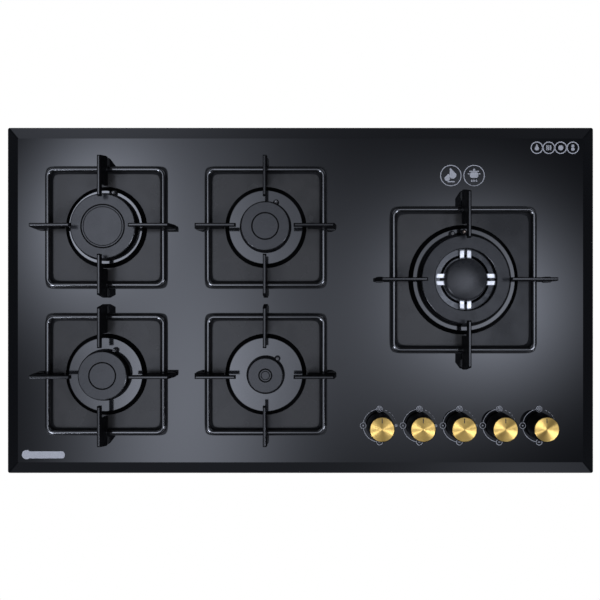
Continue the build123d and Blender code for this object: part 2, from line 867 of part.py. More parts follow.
# ------------------------------------------------------------------ taps
with BuildPart() as gas_taps:
    for knob_x in knob_xs:
        with BuildSketch(Plane((knob_x, knob_y, tap_floor))):
            Rectangle(2 * tap_half_width, 2 * tap_half_depth)
        extrude(amount=tap_lid - tap_floor)
        saddle_depth = knob_y - tap_half_depth - (rail_y - 11)
        with BuildSketch(Plane((knob_x, rail_y - 11 + saddle_depth / 2, gas_level - 9.5))):
            Rectangle(18, saddle_depth)
        extrude(amount=19)
        bar((knob_x - 10, rail_y, gas_level), (1, 0, 0), rail_radius, 20, Mode.SUBTRACT)
        outlet = (knob_x, knob_y + tap_half_depth, gas_level)
        bar(outlet, (0, 1, 0), stub_radius, tap_outlet_y - outlet[1])
        passage = tap_outlet_y - rail_y
        bar((knob_x, rail_y, gas_level), (0, 1, 0), gas_way, passage, Mode.SUBTRACT)
        turned(
            [
                (0, plug_bottom - plug_gap),
                (plug_bottom_radius + plug_gap, plug_bottom - plug_gap),
                (plug_top_radius + plug_gap, plug_top),
                (7.0, plug_top),
                (7.0, tap_lid),
                (0, tap_lid),
            ],
            knob_x,
            knob_y,
            Mode.SUBTRACT,
        )
        for side_x in (-8, 8):
            for side_y in (-9, 9):
                post(knob_x + side_x, knob_y + side_y, 1.4, tap_lid - 7, tap_lid, Mode.SUBTRACT)
    for knob_x in knob_xs:
        with BuildSketch(Plane((knob_x, knob_y, tap_lid + 0.02))):
            Rectangle(2 * tap_half_width, 2 * tap_half_depth)
            Circle(spindle_radius + 0.3, mode=Mode.SUBTRACT)
            with GridLocations(16, 18, 2, 2):
                Circle(1.4, mode=Mode.SUBTRACT)
        extrude(amount=tap_lid_thickness - 0.02)
save(gas_taps.part, "gas_taps")


# ------------------------------------------------------------------ tap plugs and spindles
def d_section(radius, flat):
    """A round section with one flat on its back side."""
    Circle(radius)
    with Locations((0, flat + radius)):
        Rectangle(3 * radius, 2 * radius, mode=Mode.SUBTRACT)


def tap_plug(knob_x):
    """The tapered plug that turns in the tap, with a cross hole that is shut at rest."""
    with BuildPart() as plug:
        turned(
            [
                (0, plug_bottom),
                (plug_bottom_radius, plug_bottom),
                (plug_top_radius, plug_top),
                (0, plug_top),
            ],
            knob_x,
            knob_y,
        )
        bar((knob_x - 8, knob_y, gas_level), (1, 0, 0), gas_way - 0.3, 16, Mode.SUBTRACT)
        with BuildSketch(Plane((knob_x, knob_y, spindle_bottom - push_travel - 1))):
            d_section(spindle_radius + plug_gap, spindle_flat + plug_gap)
        extrude(amount=plug_top - spindle_bottom + push_travel + 1, mode=Mode.SUBTRACT)
    return plug.part


def tap_spindle(knob_x):
    collar_low = tap_lid - collar_height - 0.2
    with BuildPart() as spindle:
        with BuildSketch(Plane((knob_x, knob_y, spindle_bottom))):
            d_section(spindle_radius, spindle_flat)
        extrude(amount=collar_low - spindle_bottom)
        post(knob_x, knob_y, collar_radius, collar_low, collar_low + collar_height)
        post(knob_x, knob_y, spindle_radius, collar_low + collar_height, knob_foot)
        with BuildSketch(Plane((knob_x, knob_y, knob_foot))):
            d_section(spindle_radius, spindle_flat)
        extrude(amount=spindle_top - knob_foot)
    return spindle.part


# ------------------------------------------------------------------ knobs
def knob_body(knob_x):
    """A hollow knob with a hub that grips the spindle and a recess for its metal face."""
    with BuildPart() as body:
        turned(
            [
                (0, knob_foot + 1.5),
                (5.5, knob_foot + 1.5),
                (5.5, knob_roof),
                (16.0, knob_roof),
                (17.2, knob_foot),
                (knob_foot_radius - 0.5, knob_foot),
                (knob_foot_radius, knob_foot + 0.5),
                (knob_foot_radius, knob_foot + 3),
                (knob_top_radius, knob_rim - 0.5),
                (knob_top_radius - 0.4, knob_rim),
                (disc_radius, knob_rim),
                (disc_radius, disc_seat),
                (0, disc_seat),
            ],
            knob_x,
            knob_y,
        )
        with BuildSketch(Plane((knob_x, knob_y, knob_foot))):
            d_section(spindle_radius, spindle_flat)
        extrude(amount=spindle_top - knob_foot, mode=Mode.SUBTRACT)
    return body.part


def knob_disc(knob_x):
    """The thin metal face, with a pointer cut that stands at twelve o'clock at rest."""
    with BuildPart() as disc:
        post(knob_x, knob_y, disc_radius, disc_seat, disc_seat + disc_thickness)
        chamfer(disc.edges().group_by(Axis.Z)[-1], 0.5)
        pointer_y = knob_y + disc_radius - 1.5 - pointer_length / 2
        with BuildSketch(Plane((knob_x, pointer_y, disc_seat + disc_thickness - 0.6))):
            Rectangle(pointer_width, pointer_length)
        extrude(amount=0.6, mode=Mode.SUBTRACT)
    return disc.part


for number, knob_x in enumerate(knob_xs, start=1):
    save(tap_plug(knob_x), f"tap_plug_{number}")
    save(tap_spindle(knob_x), f"tap_spindle_{number}")
    save(knob_body(knob_x), f"knob_body_{number}")
    save(knob_disc(knob_x), f"knob_disc_{number}")

# ------------------------------------------------------------------ seals around the spindles
with BuildPart() as knob_seals:
    for knob_x in knob_xs:
        turned(
            [
                (seal_bore, glass_bottom - 1.5),
                (seal_flange, glass_bottom - 1.5),
                (seal_flange, glass_bottom),
                (seal_sleeve, glass_bottom),
                (seal_sleeve, glass_top),
                (seal_flange, glass_top),
                (seal_flange, glass_top + 0.6),
                (seal_bore + 1, glass_top + 1.0),
                (seal_bore, glass_top + 1.0),
            ],
            knob_x,
            knob_y,
        )
save(knob_seals.part, "knob_seals")

# ------------------------------------------------------------------ pipes from taps to cups
# From left to right the taps feed the front left, front centre, rear left, rear centre and
# wok burners. No two pipes cross, so they all lie at one level.
left_lane = rear_left.x + 122
right_lane = wok.x - 41


def stub_end(burner):
    x, y = out_from(burner, stub_length, burner.stub_angle)
    return x, y


pipe_routes = [
    [(knob_xs[0], -152), (left_x, -152), stub_end(front_left)],
    [(knob_xs[1], front_y), stub_end(front_centre)],
    [(knob_xs[2], -85), (left_lane, -85), (left_lane, rear_y), stub_end(rear_left)],
    [(knob_xs[3], -72), (right_lane, -72), (right_lane, rear_y), stub_end(rear_centre)],
    [(knob_xs[4], wok.y), stub_end(wok)],
]
pipe_bends = [8.5, pipe_bend, pipe_bend, pipe_bend, pipe_bend]
with BuildPart() as gas_pipes:
    for knob_x, route, bend in zip(knob_xs, pipe_routes, pipe_bends):
        points = [(x, y, gas_level) for x, y in [(knob_x, tap_outlet_y)] + route]
        tube(points, pipe_radius, pipe_bore, bend)
save(gas_pipes.part, "gas_pipes")

# ------------------------------------------------------------------ spark plugs
with BuildPart() as spark_plugs:
    for burner in burners:
        x, y = spark_point(burner)
        shoulder = cap_bottom(burner) - 0.5
        turned(
            [
                (0, spark_bottom),
                (ceramic_radius, spark_bottom),
                (ceramic_radius, shoulder - 0.6),
                (ceramic_radius - 0.6, shoulder),
                (pin_radius, shoulder),
                (pin_radius, shoulder + 2.4),
                (0, shoulder + 2.8),
            ],
            x,
            y,
        )
save(spark_plugs.part, "spark_plugs")

# ------------------------------------------------------------------ ignition module and leads
terminal_x = module_x - module_width / 2
terminal_length = 5.0
lead_start = terminal_x - terminal_length


def lead_lane(lane):
    """The y of a terminal and of the lane its lead runs along."""
    return module_y + (lane - 2) * lead_pitch


with BuildPart() as ignition_module:
    with BuildSketch(Plane((module_x, module_y, box_floor))):
        RectangleRounded(module_width, module_depth, 3)
    extrude(amount=module_top - box_floor)
    chamfer(ignition_module.edges().group_by(Axis.Z)[-1], 1)
    for lane in range(knob_count):
        bar((terminal_x, lead_lane(lane), lead_level), (-1, 0, 0), 2.2, terminal_length)
save(ignition_module.part, "ignition_module")


def lead_route(lane, burner, turn_x=None):
    """A lead along its lane, forward at a turning x, and up into the spark plug."""
    x, y = spark_point(burner)
    points = [(lead_start, lead_lane(lane))]
    if turn_x is None:
        points.append((x, lead_lane(lane)))
    else:
        points += [(turn_x, lead_lane(lane)), (turn_x, y)]
    level = [(px, py, lead_level) for px, py in points + [(x, y)]]
    return level + [(x, y, spark_bottom)]


front_left_turn = -140.0
front_centre_turn = 70.0
with BuildPart() as ignition_leads:
    tube(lead_route(4, rear_left), lead_radius, 0, lead_bend)
    tube(lead_route(3, front_left, front_left_turn), lead_radius, 0, lead_bend)
    tube(lead_route(2, rear_centre), lead_radius, 0, lead_bend)
    tube(lead_route(1, front_centre, front_centre_turn), lead_radius, 0, lead_bend)
    tube(lead_route(0, wok), lead_radius, 0, lead_bend)
save(ignition_leads.part, "ignition_leads")

# ------------------------------------------------------------------ flame sensor of the wok
sensor_level = -32.5
sensor_bottom = -6.0
sensor_lane = 330.0
tap_side = knob_xs[4] - tap_half_width
with BuildPart() as thermocouple:
    sensor_top = cap_bottom(wok) - 1
    turned(
        [
            (0, sensor_bottom),
            (ceramic_radius, sensor_bottom),
            (ceramic_radius, sensor_top - 1.2),
            (ceramic_radius - 1.2, sensor_top),
            (0, sensor_top),
        ],
        sensor_x,
        sensor_y,
    )
    wire = [
        (sensor_x, sensor_y, sensor_bottom),
        (sensor_x, sensor_y, sensor_level),
        (sensor_lane, sensor_y, sensor_level),
        (sensor_lane, knob_y, sensor_level),
        (tap_side, knob_y, sensor_level),
    ]
    tube(wire, 1.0, 0, 9)
save(thermocouple.part, "thermocouple")

# ------------------------------------------------------------------ worktop clamps
with BuildPart() as worktop_clamps:
    for place in clamp_places:
        x, y, angle = place
        with BuildSketch(upright(x, y, angle)):
            with BuildLine():
                Polyline(
                    (0, clamp_leg_end),
                    (clamp_sheet, clamp_leg_end),
                    (clamp_sheet, clamp_arm - clamp_sheet),
                    (clamp_reach, clamp_arm - clamp_sheet),
                    (clamp_reach, clamp_arm),
                    (0, clamp_arm),
                    close=True,
                )
            make_face()
        extrude(amount=clamp_width / 2, both=True)
        leg_hole = wall_point(place, 0, clamp_screw_z)
        bar(leg_hole, wall_outward(place), clamp_screw_radius, clamp_sheet, Mode.SUBTRACT)
        x, y, _ = wall_point(place, clamp_bolt_reach, 0)
        arm_low = clamp_arm - clamp_sheet
        post(x, y, clamp_bolt_radius, arm_low, clamp_arm, Mode.SUBTRACT)
save(worktop_clamps.part, "worktop_clamps")

# ------------------------------------------------------------------ screws, bolts and pipe nuts
with BuildPart() as fasteners:
    for place in clamp_places:
        outward = wall_outward(place)
        screw_start = wall_point(place, -4, clamp_screw_z)
        bar(screw_start, outward, clamp_screw_radius, 4 + clamp_sheet)
        bar(wall_point(place, clamp_sheet, clamp_screw_z), outward, 3.8, 2)
        x, y, _ = wall_point(place, clamp_bolt_reach, 0)
        with BuildSketch(Plane((x, y, clamp_bolt_head))):
            RegularPolygon(4.6, 6)
        extrude(amount=3.5)
        post(x, y, clamp_bolt_radius, clamp_bolt_head, clamp_bolt_tip)
        post(x, y, clamp_pad_radius, clamp_bolt_tip - 1.5, clamp_bolt_tip)
    for x, y in foot_screws():
        foot_top = box_floor + bridge_sheet
        post(x, y, 3.4, foot_top, foot_top + 1.8)
        post(x, y, screw_radius, box_bottom, foot_top)
    for burner in burners:
        for side in (-1, 1):
            screw_y = burner.y + side * cup_screw_reach
            underside = bridge_top - bridge_sheet
            post(burner.x, screw_y, 3.2, underside - 2, underside)
            post(burner.x, screw_y, screw_radius, underside, bridge_top + 8)
        turn_by = radians(burner.stub_angle)
        outward = (cos(turn_by), sin(turn_by), 0)
        x, y = stub_end(burner)
        hex_nut((x, y, gas_level), outward, nut_radius, pipe_radius, nut_length)
    for knob_x in knob_xs:
        hex_nut((knob_x, tap_outlet_y, gas_level), (0, 1, 0), nut_radius, pipe_radius, nut_length)
        lid_top = tap_lid + tap_lid_thickness
        for side_x in (-8, 8):
            for side_y in (-9, 9):
                x = knob_x + side_x
                y = knob_y + side_y
                post(x, y, 1.4, tap_lid - 6, lid_top)
                post(x, y, 2.5, lid_top, lid_top + 1.6)
    for side in (-1, 1):
        screw_z = gas_level + side * inlet_screw_spacing / 2
        flange_face = box_back + inlet_flange
        bar((rail_right, box_back, screw_z), (0, 1, 0), inlet_screw, inlet_flange)
        bar((rail_right, flange_face, screw_z), (0, 1, 0), 2.8, 1.6)
save(fasteners.part, "fasteners")

print("wrote", len(os.listdir("parts")), "parts")
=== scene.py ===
# %% [markdown]
# # A gas cooktop in Blender
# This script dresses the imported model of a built-in gas cooktop: five burners under
# lift-off pan supports, five push-and-turn knobs and a bevelled sheet of black glass.
# The shapes that carry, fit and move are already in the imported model. What is added here
# is what the eye reads: finishes, printed marks, threads, light and the camera.

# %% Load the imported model
import json
from math import atan2, cos, degrees, radians, sin

import bpy
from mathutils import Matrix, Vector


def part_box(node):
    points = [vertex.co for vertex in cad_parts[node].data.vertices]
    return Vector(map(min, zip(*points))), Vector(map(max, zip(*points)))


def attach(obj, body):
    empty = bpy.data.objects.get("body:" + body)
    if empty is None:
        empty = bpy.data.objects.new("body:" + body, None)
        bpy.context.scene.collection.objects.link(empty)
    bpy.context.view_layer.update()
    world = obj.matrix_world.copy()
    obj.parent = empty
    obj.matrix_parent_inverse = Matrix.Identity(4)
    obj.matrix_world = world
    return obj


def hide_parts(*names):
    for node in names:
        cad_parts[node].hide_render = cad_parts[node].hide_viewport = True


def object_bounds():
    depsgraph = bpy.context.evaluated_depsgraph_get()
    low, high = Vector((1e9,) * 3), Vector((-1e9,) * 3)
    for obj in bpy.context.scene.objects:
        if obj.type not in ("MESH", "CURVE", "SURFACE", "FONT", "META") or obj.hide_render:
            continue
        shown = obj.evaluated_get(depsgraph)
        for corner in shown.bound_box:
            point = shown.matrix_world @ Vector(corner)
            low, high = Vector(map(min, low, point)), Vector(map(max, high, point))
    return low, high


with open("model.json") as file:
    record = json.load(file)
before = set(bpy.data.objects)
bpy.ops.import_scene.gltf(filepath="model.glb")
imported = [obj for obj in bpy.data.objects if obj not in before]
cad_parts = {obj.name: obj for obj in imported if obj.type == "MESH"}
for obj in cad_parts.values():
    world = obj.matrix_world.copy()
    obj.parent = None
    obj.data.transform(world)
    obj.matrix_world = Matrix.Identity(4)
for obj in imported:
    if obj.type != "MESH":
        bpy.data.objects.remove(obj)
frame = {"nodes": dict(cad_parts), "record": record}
nodes = frame["nodes"]
packed_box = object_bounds()
mm = 0.001

# %% [markdown]
# ## Where things are
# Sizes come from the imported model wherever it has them. A burner's centre is the middle of
# its cap, and the height of the glass is the top of the glass node, so if the part is ever
# made again a little differently, everything here follows it.

# %% Centres and heights read from the model
BURNERS = ["rear_left", "front_left", "rear_centre", "front_centre", "wok"]
KNOBS = [1, 2, 3, 4, 5]


def middle(node):
    low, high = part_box(node)
    return (low + high) / 2


burner_centre = {name: middle(f"burner_cap_{name}") for name in BURNERS}
wok = burner_centre["wok"]
knob_centre = [middle(f"knob_disc_{number}") for number in KNOBS]
glass_low, glass_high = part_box("glass_panel")
glass_top = glass_high.z
print("glass top at", round(glass_top / mm, 2), "mm")

# %% [markdown]
# ## Building shader networks in code
# A material is a small network of nodes, and so is the light of the studio. Small helpers
# keep each network readable. `put` adds a node and fills its inputs, either with a plain
# value or with the output of an earlier node. `calc` is the same for the many Math nodes,
# and short names stand for the sums that are needed most.

# %% Helpers for nodes
def put(tree, kind, inputs=None, **settings):
    """Add a node, set its options, then fill or link its inputs."""
    node = tree.nodes.new(kind)
    for option, value in settings.items():
        setattr(node, option, value)
    for key, value in (inputs or {}).items():
        if isinstance(value, bpy.types.NodeSocket):
            tree.links.new(value, node.inputs[key])
        else:
            node.inputs[key].default_value = value
    return node


def calc(tree, operation, *values):
    """One Math node, given numbers or sockets, and its result."""
    return put(tree, "ShaderNodeMath", dict(enumerate(values)), operation=operation).outputs[0]


# %% Short names for sums
def times(tree, first, second):
    return calc(tree, "MULTIPLY", first, second)


def plus(tree, first, second):
    return calc(tree, "ADD", first, second)


def minus(tree, first, second):
    return calc(tree, "SUBTRACT", first, second)


def opposite(tree, mask):
    """0 where a mask is 1, and 1 where it is 0."""
    return minus(tree, 1.0, mask)


def gap(tree, first, second):
    """How far two values are apart, whichever is larger."""
    return calc(tree, "ABSOLUTE", minus(tree, first, second))


def split(tree, place):
    """The x, y and z of a place."""
    return put(tree, "ShaderNodeSeparateXYZ", {0: place}).outputs


def scaled(tree, value, factor, offset):
    """A value times a factor, plus an offset."""
    return calc(tree, "MULTIPLY_ADD", value, factor, offset)


def length_of(tree, right, back):
    """The length of a step to the right and then back."""
    return calc(tree, "SQRT", scaled(tree, right, right, times(tree, back, back)))


# %% Ranges, colours, clouds and relief
def remap(tree, value, low, high, to_low, to_high):
    """Stretch a value from one range to another, held at both ends, with soft ends."""
    inputs = {0: value, 1: low, 2: high, 3: to_low, 4: to_high}
    node = put(tree, "ShaderNodeMapRange", inputs, interpolation_type="SMOOTHSTEP")
    return node.outputs[0]


def rise(tree, value, low, high):
    """0 below a range and 1 above it."""
    return remap(tree, value, low, high, 0.0, 1.0)


def fall(tree, value, low, high):
    """1 below a range and 0 above it."""
    return remap(tree, value, low, high, 1.0, 0.0)


def blend(tree, factor, first, second):
    """Mix two colours, by a number or a mask."""
    node = put(tree, "ShaderNodeMix", {0: factor, 6: first, 7: second}, data_type="RGBA")
    return node.outputs[2]


def noise(tree, place, scale, detail):
    """A soft cloudy texture."""
    return put(tree, "ShaderNodeTexNoise", {"Vector": place, "Scale": scale, "Detail": detail}).outputs[0]


def relief(tree, height, depth, **more):
    """Turn a height into a tilted normal."""
    inputs = {"Height": height, "Distance": depth, "Strength": 1.0, **more}
    return put(tree, "ShaderNodeBump", inputs).outputs[0]


# %% [markdown]
# ## Effects that several finishes share
# Real surfaces are never quite even. Enamel sets with a faint orange peel, castings keep
# the grain of the mould, turned metal keeps the rings of the tool, and everything is a
# little glossier in one place than in the next. Each effect is made once as a node group
# with named inputs, and every material then uses it with its own sizes. Sizes go in as
# metres, so a grain of half a millimetre is 0.0005.

# %% A maker for node groups
def new_group(name, takes, gives):
    """An empty shader group. Place and Normal are vectors, and all else is numbers."""
    group = bpy.data.node_groups.new(name, "ShaderNodeTree")
    for way, titles in (("INPUT", takes), ("OUTPUT", gives)):
        for title in titles:
            kind = "NodeSocketVector" if title in ("Place", "Normal") else "NodeSocketFloat"
            group.interface.new_socket(title, in_out=way, socket_type=kind)
    source = group.nodes.new("NodeGroupInput")
    result = group.nodes.new("NodeGroupOutput")
    print("effect", name)
    return group, source.outputs, result.inputs


# %% Orange peel: the soft ripple of enamel, lacquer and moulded plastic
def make_orange_peel():
    group, given, result = new_group("orange peel", ("Place", "Size", "Depth"), ("Normal",))
    scale = calc(group, "DIVIDE", 1.0, given["Size"])
    ripple = noise(group, given["Place"], scale, 1.0)
    group.links.new(relief(group, ripple, given["Depth"]), result["Normal"])
    return group


orange_peel = make_orange_peel()


# %% Patches: slow changes of gloss or tone from place to place
def make_patches():
    group, given, result = new_group("patches", ("Place", "Size", "Low", "High"), ("Value",))
    scale = calc(group, "DIVIDE", 1.0, given["Size"])
    cloud = noise(group, given["Place"], scale, 3.0)
    value = remap(group, cloud, 0.3, 0.7, given["Low"], given["High"])
    group.links.new(value, result["Value"])
    return group


patches = make_patches()


# %% Cast grain: fine pits and bumps of metal poured in a mould
def make_cast_grain():
    group, given, result = new_group("cast grain", ("Place", "Size", "Depth"), ("Normal", "Pits"))
    scale = calc(group, "DIVIDE", 1.0, given["Size"])
    cells = put(group, "ShaderNodeTexVoronoi", {"Vector": given["Place"], "Scale": scale})
    fine = noise(group, given["Place"], times(group, scale, 2.3), 2.0)
    height = scaled(group, cells.outputs["Distance"], 0.6, fine)
    pits = fall(group, cells.outputs["Distance"], 0.0, 0.35)
    group.links.new(relief(group, height, given["Depth"]), result["Normal"])
    group.links.new(pits, result["Pits"])
    return group


cast_grain = make_cast_grain()


# %% Turned rings: the grooves that a lathe leaves round a centre
def make_turned_rings():
    group, given, result = new_group("turned rings", ("Place", "Pitch", "Depth"), ("Normal", "Rings"))
    level = {0: given["Place"], 1: (1.0, 1.0, 0.0)}
    flat = put(group, "ShaderNodeVectorMath", level, operation="MULTIPLY")
    radius = put(group, "ShaderNodeVectorMath", {0: flat.outputs[0]}, operation="LENGTH")
    turns = calc(group, "DIVIDE", radius.outputs["Value"], given["Pitch"])
    along = {"W": turns, "Scale": 1.0, "Detail": 2.0}
    rings = put(group, "ShaderNodeTexNoise", along, noise_dimensions="1D").outputs[0]
    group.links.new(relief(group, rings, given["Depth"]), result["Normal"])
    group.links.new(rings, result["Rings"])
    return group


turned_rings = make_turned_rings()

# %% [markdown]
# ## A starting point for every finish
# Each material begins the same way: a Principled shader joined to the output, and the
# piece's own Object coordinates, which are metres in the part's frame. Numbers that are
# the same all over, such as the index of refraction, go straight on the shader's sockets.

# %% A new material and its coordinates
FINISHES = {}


def new_finish(name, **fixed):
    """A material, kept in FINISHES. Fixed values go on its shader's sockets by name."""
    material = bpy.data.materials.new(name)
    material.use_nodes = True
    tree = material.node_tree
    shader = tree.nodes["Principled BSDF"]
    for title, value in fixed.items():
        shader.inputs[title.replace("_", " ")].default_value = value
    FINISHES[name] = material
    print("finish", name)
    return tree, put(tree, "ShaderNodeTexCoord").outputs["Object"]


# %% Helpers for finishes
def effect(tree, group, **inputs):
    """Place a shared effect in a material."""
    return put(tree, "ShaderNodeGroup", inputs, node_tree=group).outputs


def patchy(tree, place, size, low, high):
    """The value of the shared patches, wandering between low and high."""
    return effect(tree, patches, Place=place, Size=size, Low=low, High=high)["Value"]


def feed(tree, colour, roughness, **others):
    """Link sockets to the inputs of a material's shader, the less usual ones by name."""
    shader = tree.nodes["Principled BSDF"]
    sources = {"Base Color": colour, "Roughness": roughness, **others}
    for title, socket in sources.items():
        tree.links.new(socket, shader.inputs[title.replace("_", " ")])


def paint(piece, finish):
    """Give a piece one finish all over."""
    piece.data.materials.clear()
    piece.data.materials.append(FINISHES[finish])


# %% [markdown]
# ## Where the rods run
# Two finishes need to know where the pan supports are: the glass, because inside them it
# has a softer film and is painted darker as their shade, and the enamel, because the rods
# are glossier than the fingers. The rods form a square with rounded corners. A rounded
# square is what a high power makes of a circle's formula, so this gives 0 in the middle,
# 1 on the rod and more outside it.

# %% Distance from a burner, measured in its rod square
ROD_SQUARE = {name: 104.8 * mm if name == "wok" else 86.3 * mm for name in BURNERS}
CORNER_POWER = 20.0


def rod_square_reach(tree, x, y, name):
    """0 at the burner's centre, 1 along the middle of the rods around it."""
    total = 0.0
    for value, centre in ((x, burner_centre[name].x), (y, burner_centre[name].y)):
        share = calc(tree, "DIVIDE", gap(tree, value, centre), ROD_SQUARE[name])
        total = plus(tree, calc(tree, "POWER", share, CORNER_POWER), total)
    return calc(tree, "POWER", total, 1.0 / CORNER_POWER)


print("rod squares", {name: round(2 * half / mm) for name, half in ROD_SQUARE.items()})

# %% [markdown]
# ## Black glass
# The panel is clear tempered glass with black enamel fired on its underside. What we see
# is the enamel's black and, over it, a mirror image of the studio. Two layers make that
# here: a coat that is a clean mirror, and the shader's own slightly softer gloss.
# Inside each pan support a thin film makes the gloss softer and a faint haze scatters some
# light, fading out towards the right of the wok burner. The coat is taken away there too,
# which paints the support's shade on the glass as a darker square. Right under the rods the
# gloss and the haze go as well, which paints a dark line of shade along both sides of each rod.

# %% Black glass
FILM_AND_SHADE_EDGE = (0.96, 0.99)
# Painted shade: how far the dark line along each rod reaches from the rod's middle.
ROD_SHADE_EDGE = (5.4 * mm, 6.6 * mm)
HAZE_FADE_X = (wok.x - 10 * mm, wok.x + 50 * mm)


def make_black_glass():
    tree, place = new_finish("black_glass", IOR=1.38, Coat_IOR=1.49, Coat_Roughness=0.015)
    x, y = split(tree, place)[:2]
    # film_and_shade is 1 inside each rod square: a softer, hazier film, with the coat taken away there as
    # painted shade of the support.
    film_and_shade = 0.0
    # painted_rod_shade is a painted shadow along both sides of every rod. Coat, gloss and haze go there.
    painted_rod_shade = 0.0
    for name in BURNERS:
        reach = rod_square_reach(tree, x, y, name)
        film_and_shade = plus(tree, fall(tree, reach, *FILM_AND_SHADE_EDGE), film_and_shade)
        off = times(tree, gap(tree, reach, 1.0), ROD_SQUARE[name])
        painted_rod_shade = calc(tree, "MAXIMUM", fall(tree, off, *ROD_SHADE_EDGE), painted_rod_shade)
    smears = patchy(tree, place, 0.045, 0.0, 1.0)
    specks = patchy(tree, place, 0.007, 0.0, 1.0)
    # The mirror coat stays only where there is neither the film with its painted shade nor the painted
    # shade along the rods.
    unsoiled_unshaded = opposite(tree, calc(tree, "MAXIMUM", film_and_shade, painted_rod_shade))
    smeared = times(tree, film_and_shade, scaled(tree, smears, 0.10, 0.17))
    speckled = times(tree, times(tree, film_and_shade, specks), 0.008)
    roughness = plus(tree, plus(tree, smeared, speckled), 0.02)
    roughness = scaled(tree, painted_rod_shade, 0.5, roughness)
    # haze_fade thins the haze towards the right of the wok burner.
    haze_fade = remap(tree, x, *HAZE_FADE_X, 0.0, 0.9)
    haze = times(tree, film_and_shade, opposite(tree, haze_fade))
    haze = times(tree, haze, scaled(tree, smears, 0.5, 0.75))
    haze = times(tree, haze, opposite(tree, painted_rod_shade))
    tint = blend(tree, haze, (0.0040, 0.0043, 0.0050, 1), (0.040, 0.0385, 0.0365, 1))
    feed(tree, tint, roughness, Coat_Weight=unsoiled_unshaded)


make_black_glass()

# %% [markdown]
# ## Support enamel
# The pan supports are dipped in black enamel and fired. On the round rods it runs smooth
# and catches one thin bright line of the ceiling, with black on both sides. The flat
# fingers are dull and stay black, except for their tops, where pans have rubbed a faint
# gloss. One finish does both: a dull black base, with a glaze over it where it shines.

# %% Support enamel
ROD_HALF_WIDTH = 4.4 * mm
ROD_TOP = glass_top + 9 * mm
FINGER_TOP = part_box("pan_support_wok")[1].z


def make_support_enamel():
    tree, place = new_finish("support_enamel", IOR=1.08, Coat_IOR=2.1, Coat_Roughness=0.12)
    x, y, z = split(tree, place)
    rods = 0.0
    for name in BURNERS:
        reach = rod_square_reach(tree, x, y, name)
        off = times(tree, gap(tree, reach, 1.0), ROD_SQUARE[name])
        near = fall(tree, off, ROD_HALF_WIDTH, ROD_HALF_WIDTH + 0.4 * mm)
        rods = calc(tree, "MAXIMUM", near, rods)
    low = fall(tree, z, ROD_TOP, ROD_TOP + 0.8 * mm)
    rubbed = remap(tree, z, FINGER_TOP - 1.4 * mm, FINGER_TOP - 0.6 * mm, 0.0, 0.4)
    glaze = calc(tree, "MAXIMUM", times(tree, rods, low), rubbed)
    worn = patchy(tree, place, 0.006, 0.38, 0.55)
    glossier = patchy(tree, place, 0.03, 0.25, 0.35)
    roughness = put(tree, "ShaderNodeMix", {0: glaze, 2: worn, 3: glossier}).outputs[0]
    shade = patchy(tree, place, 0.01, 0.0, 1.0)
    tone = blend(tree, shade, (0.0045, 0.0045, 0.0050, 1), (0.0075, 0.0075, 0.0080, 1))
    normal = effect(tree, orange_peel, Place=place, Size=0.003, Depth=0.00002)["Normal"]
    feed(tree, tone, roughness, Normal=normal, Coat_Weight=glaze)


make_support_enamel()

# %% [markdown]
# ## Plate enamel
# The plates round the burners are glassy enamel on pressed steel. Only their flat tops
# shine. Their slopes are painted black as the dark reflection they show, the inner part of
# the big plate is painted black as shade, and the rest of the big plate is darker. The glaze
# is a coat, so a mask can take it away there, and the colour darkens with it.

# %% Plate enamel
PLATE_TOP = glass_top + 5 * mm
BIG_PLATE_FROM = (60 * mm, 70 * mm)
# Painted shade: inside this radius the big plate is black.
WOK_PLATE_SHADE_TO = (70.2 * mm, 71.2 * mm)


def away_from(tree, x, y, name, right=0.0, back=0.0):
    """The distance from a burner's axis, or from a place a little to its right and back."""
    off_x = minus(tree, x, burner_centre[name].x + right)
    off_y = minus(tree, y, burner_centre[name].y + back)
    return length_of(tree, off_x, off_y)


def make_plate_enamel():
    """A full glaze on the small plates; half of it on the big one, and none inside it as painted shade.
    """
    tree, place = new_finish("plate_enamel", IOR=1.10, Coat_IOR=1.90, Coat_Roughness=0.09)
    x, y, z = split(tree, place)
    # Off the flat tops the glaze and colour go, which paints the slopes black as the dark reflection they
    # show.
    flat = rise(tree, z, PLATE_TOP - 0.6 * mm, PLATE_TOP - 0.1 * mm)
    on_big = rise(tree, x, *BIG_PLATE_FROM)
    from_wok = away_from(tree, x, y, "wok")
    inner = fall(tree, from_wok, *WOK_PLATE_SHADE_TO)
    # big_plate_dimming halves the glaze and colour on the big plate, and takes them away inside about 70
    # mm as painted shade of the cap and crown.
    big_plate_dimming = times(tree, on_big, scaled(tree, inner, 0.5, 0.5))
    glaze = times(tree, flat, opposite(tree, big_plate_dimming))
    gloss = patchy(tree, place, 0.03, 0.07, 0.12)
    shade = patchy(tree, place, 0.012, 0.7, 1.0)
    shade = times(tree, shade, glaze)
    tone = blend(tree, shade, (0.0015, 0.0015, 0.0015, 1), (0.012, 0.0125, 0.014, 1))
    normal = effect(tree, orange_peel, Place=place, Size=0.006, Depth=0.00002)["Normal"]
    feed(tree, tone, gloss, Normal=normal, Coat_Weight=glaze)


make_plate_enamel()

# %% [markdown]
# ## Cap enamel
# The burner caps are satin: their powder is fired at a lower heat and keeps a fine tooth
# that spreads the light. Each has one or two turned grooves. The grooves and the rounded
# edge are painted black as shade, and the satin coat is taken away there. On the wok burner
# the outer cap ring keeps about a third of its coat, and the inner cap loses its coat
# towards its rim and to the back right, which paints the shade of a dome.

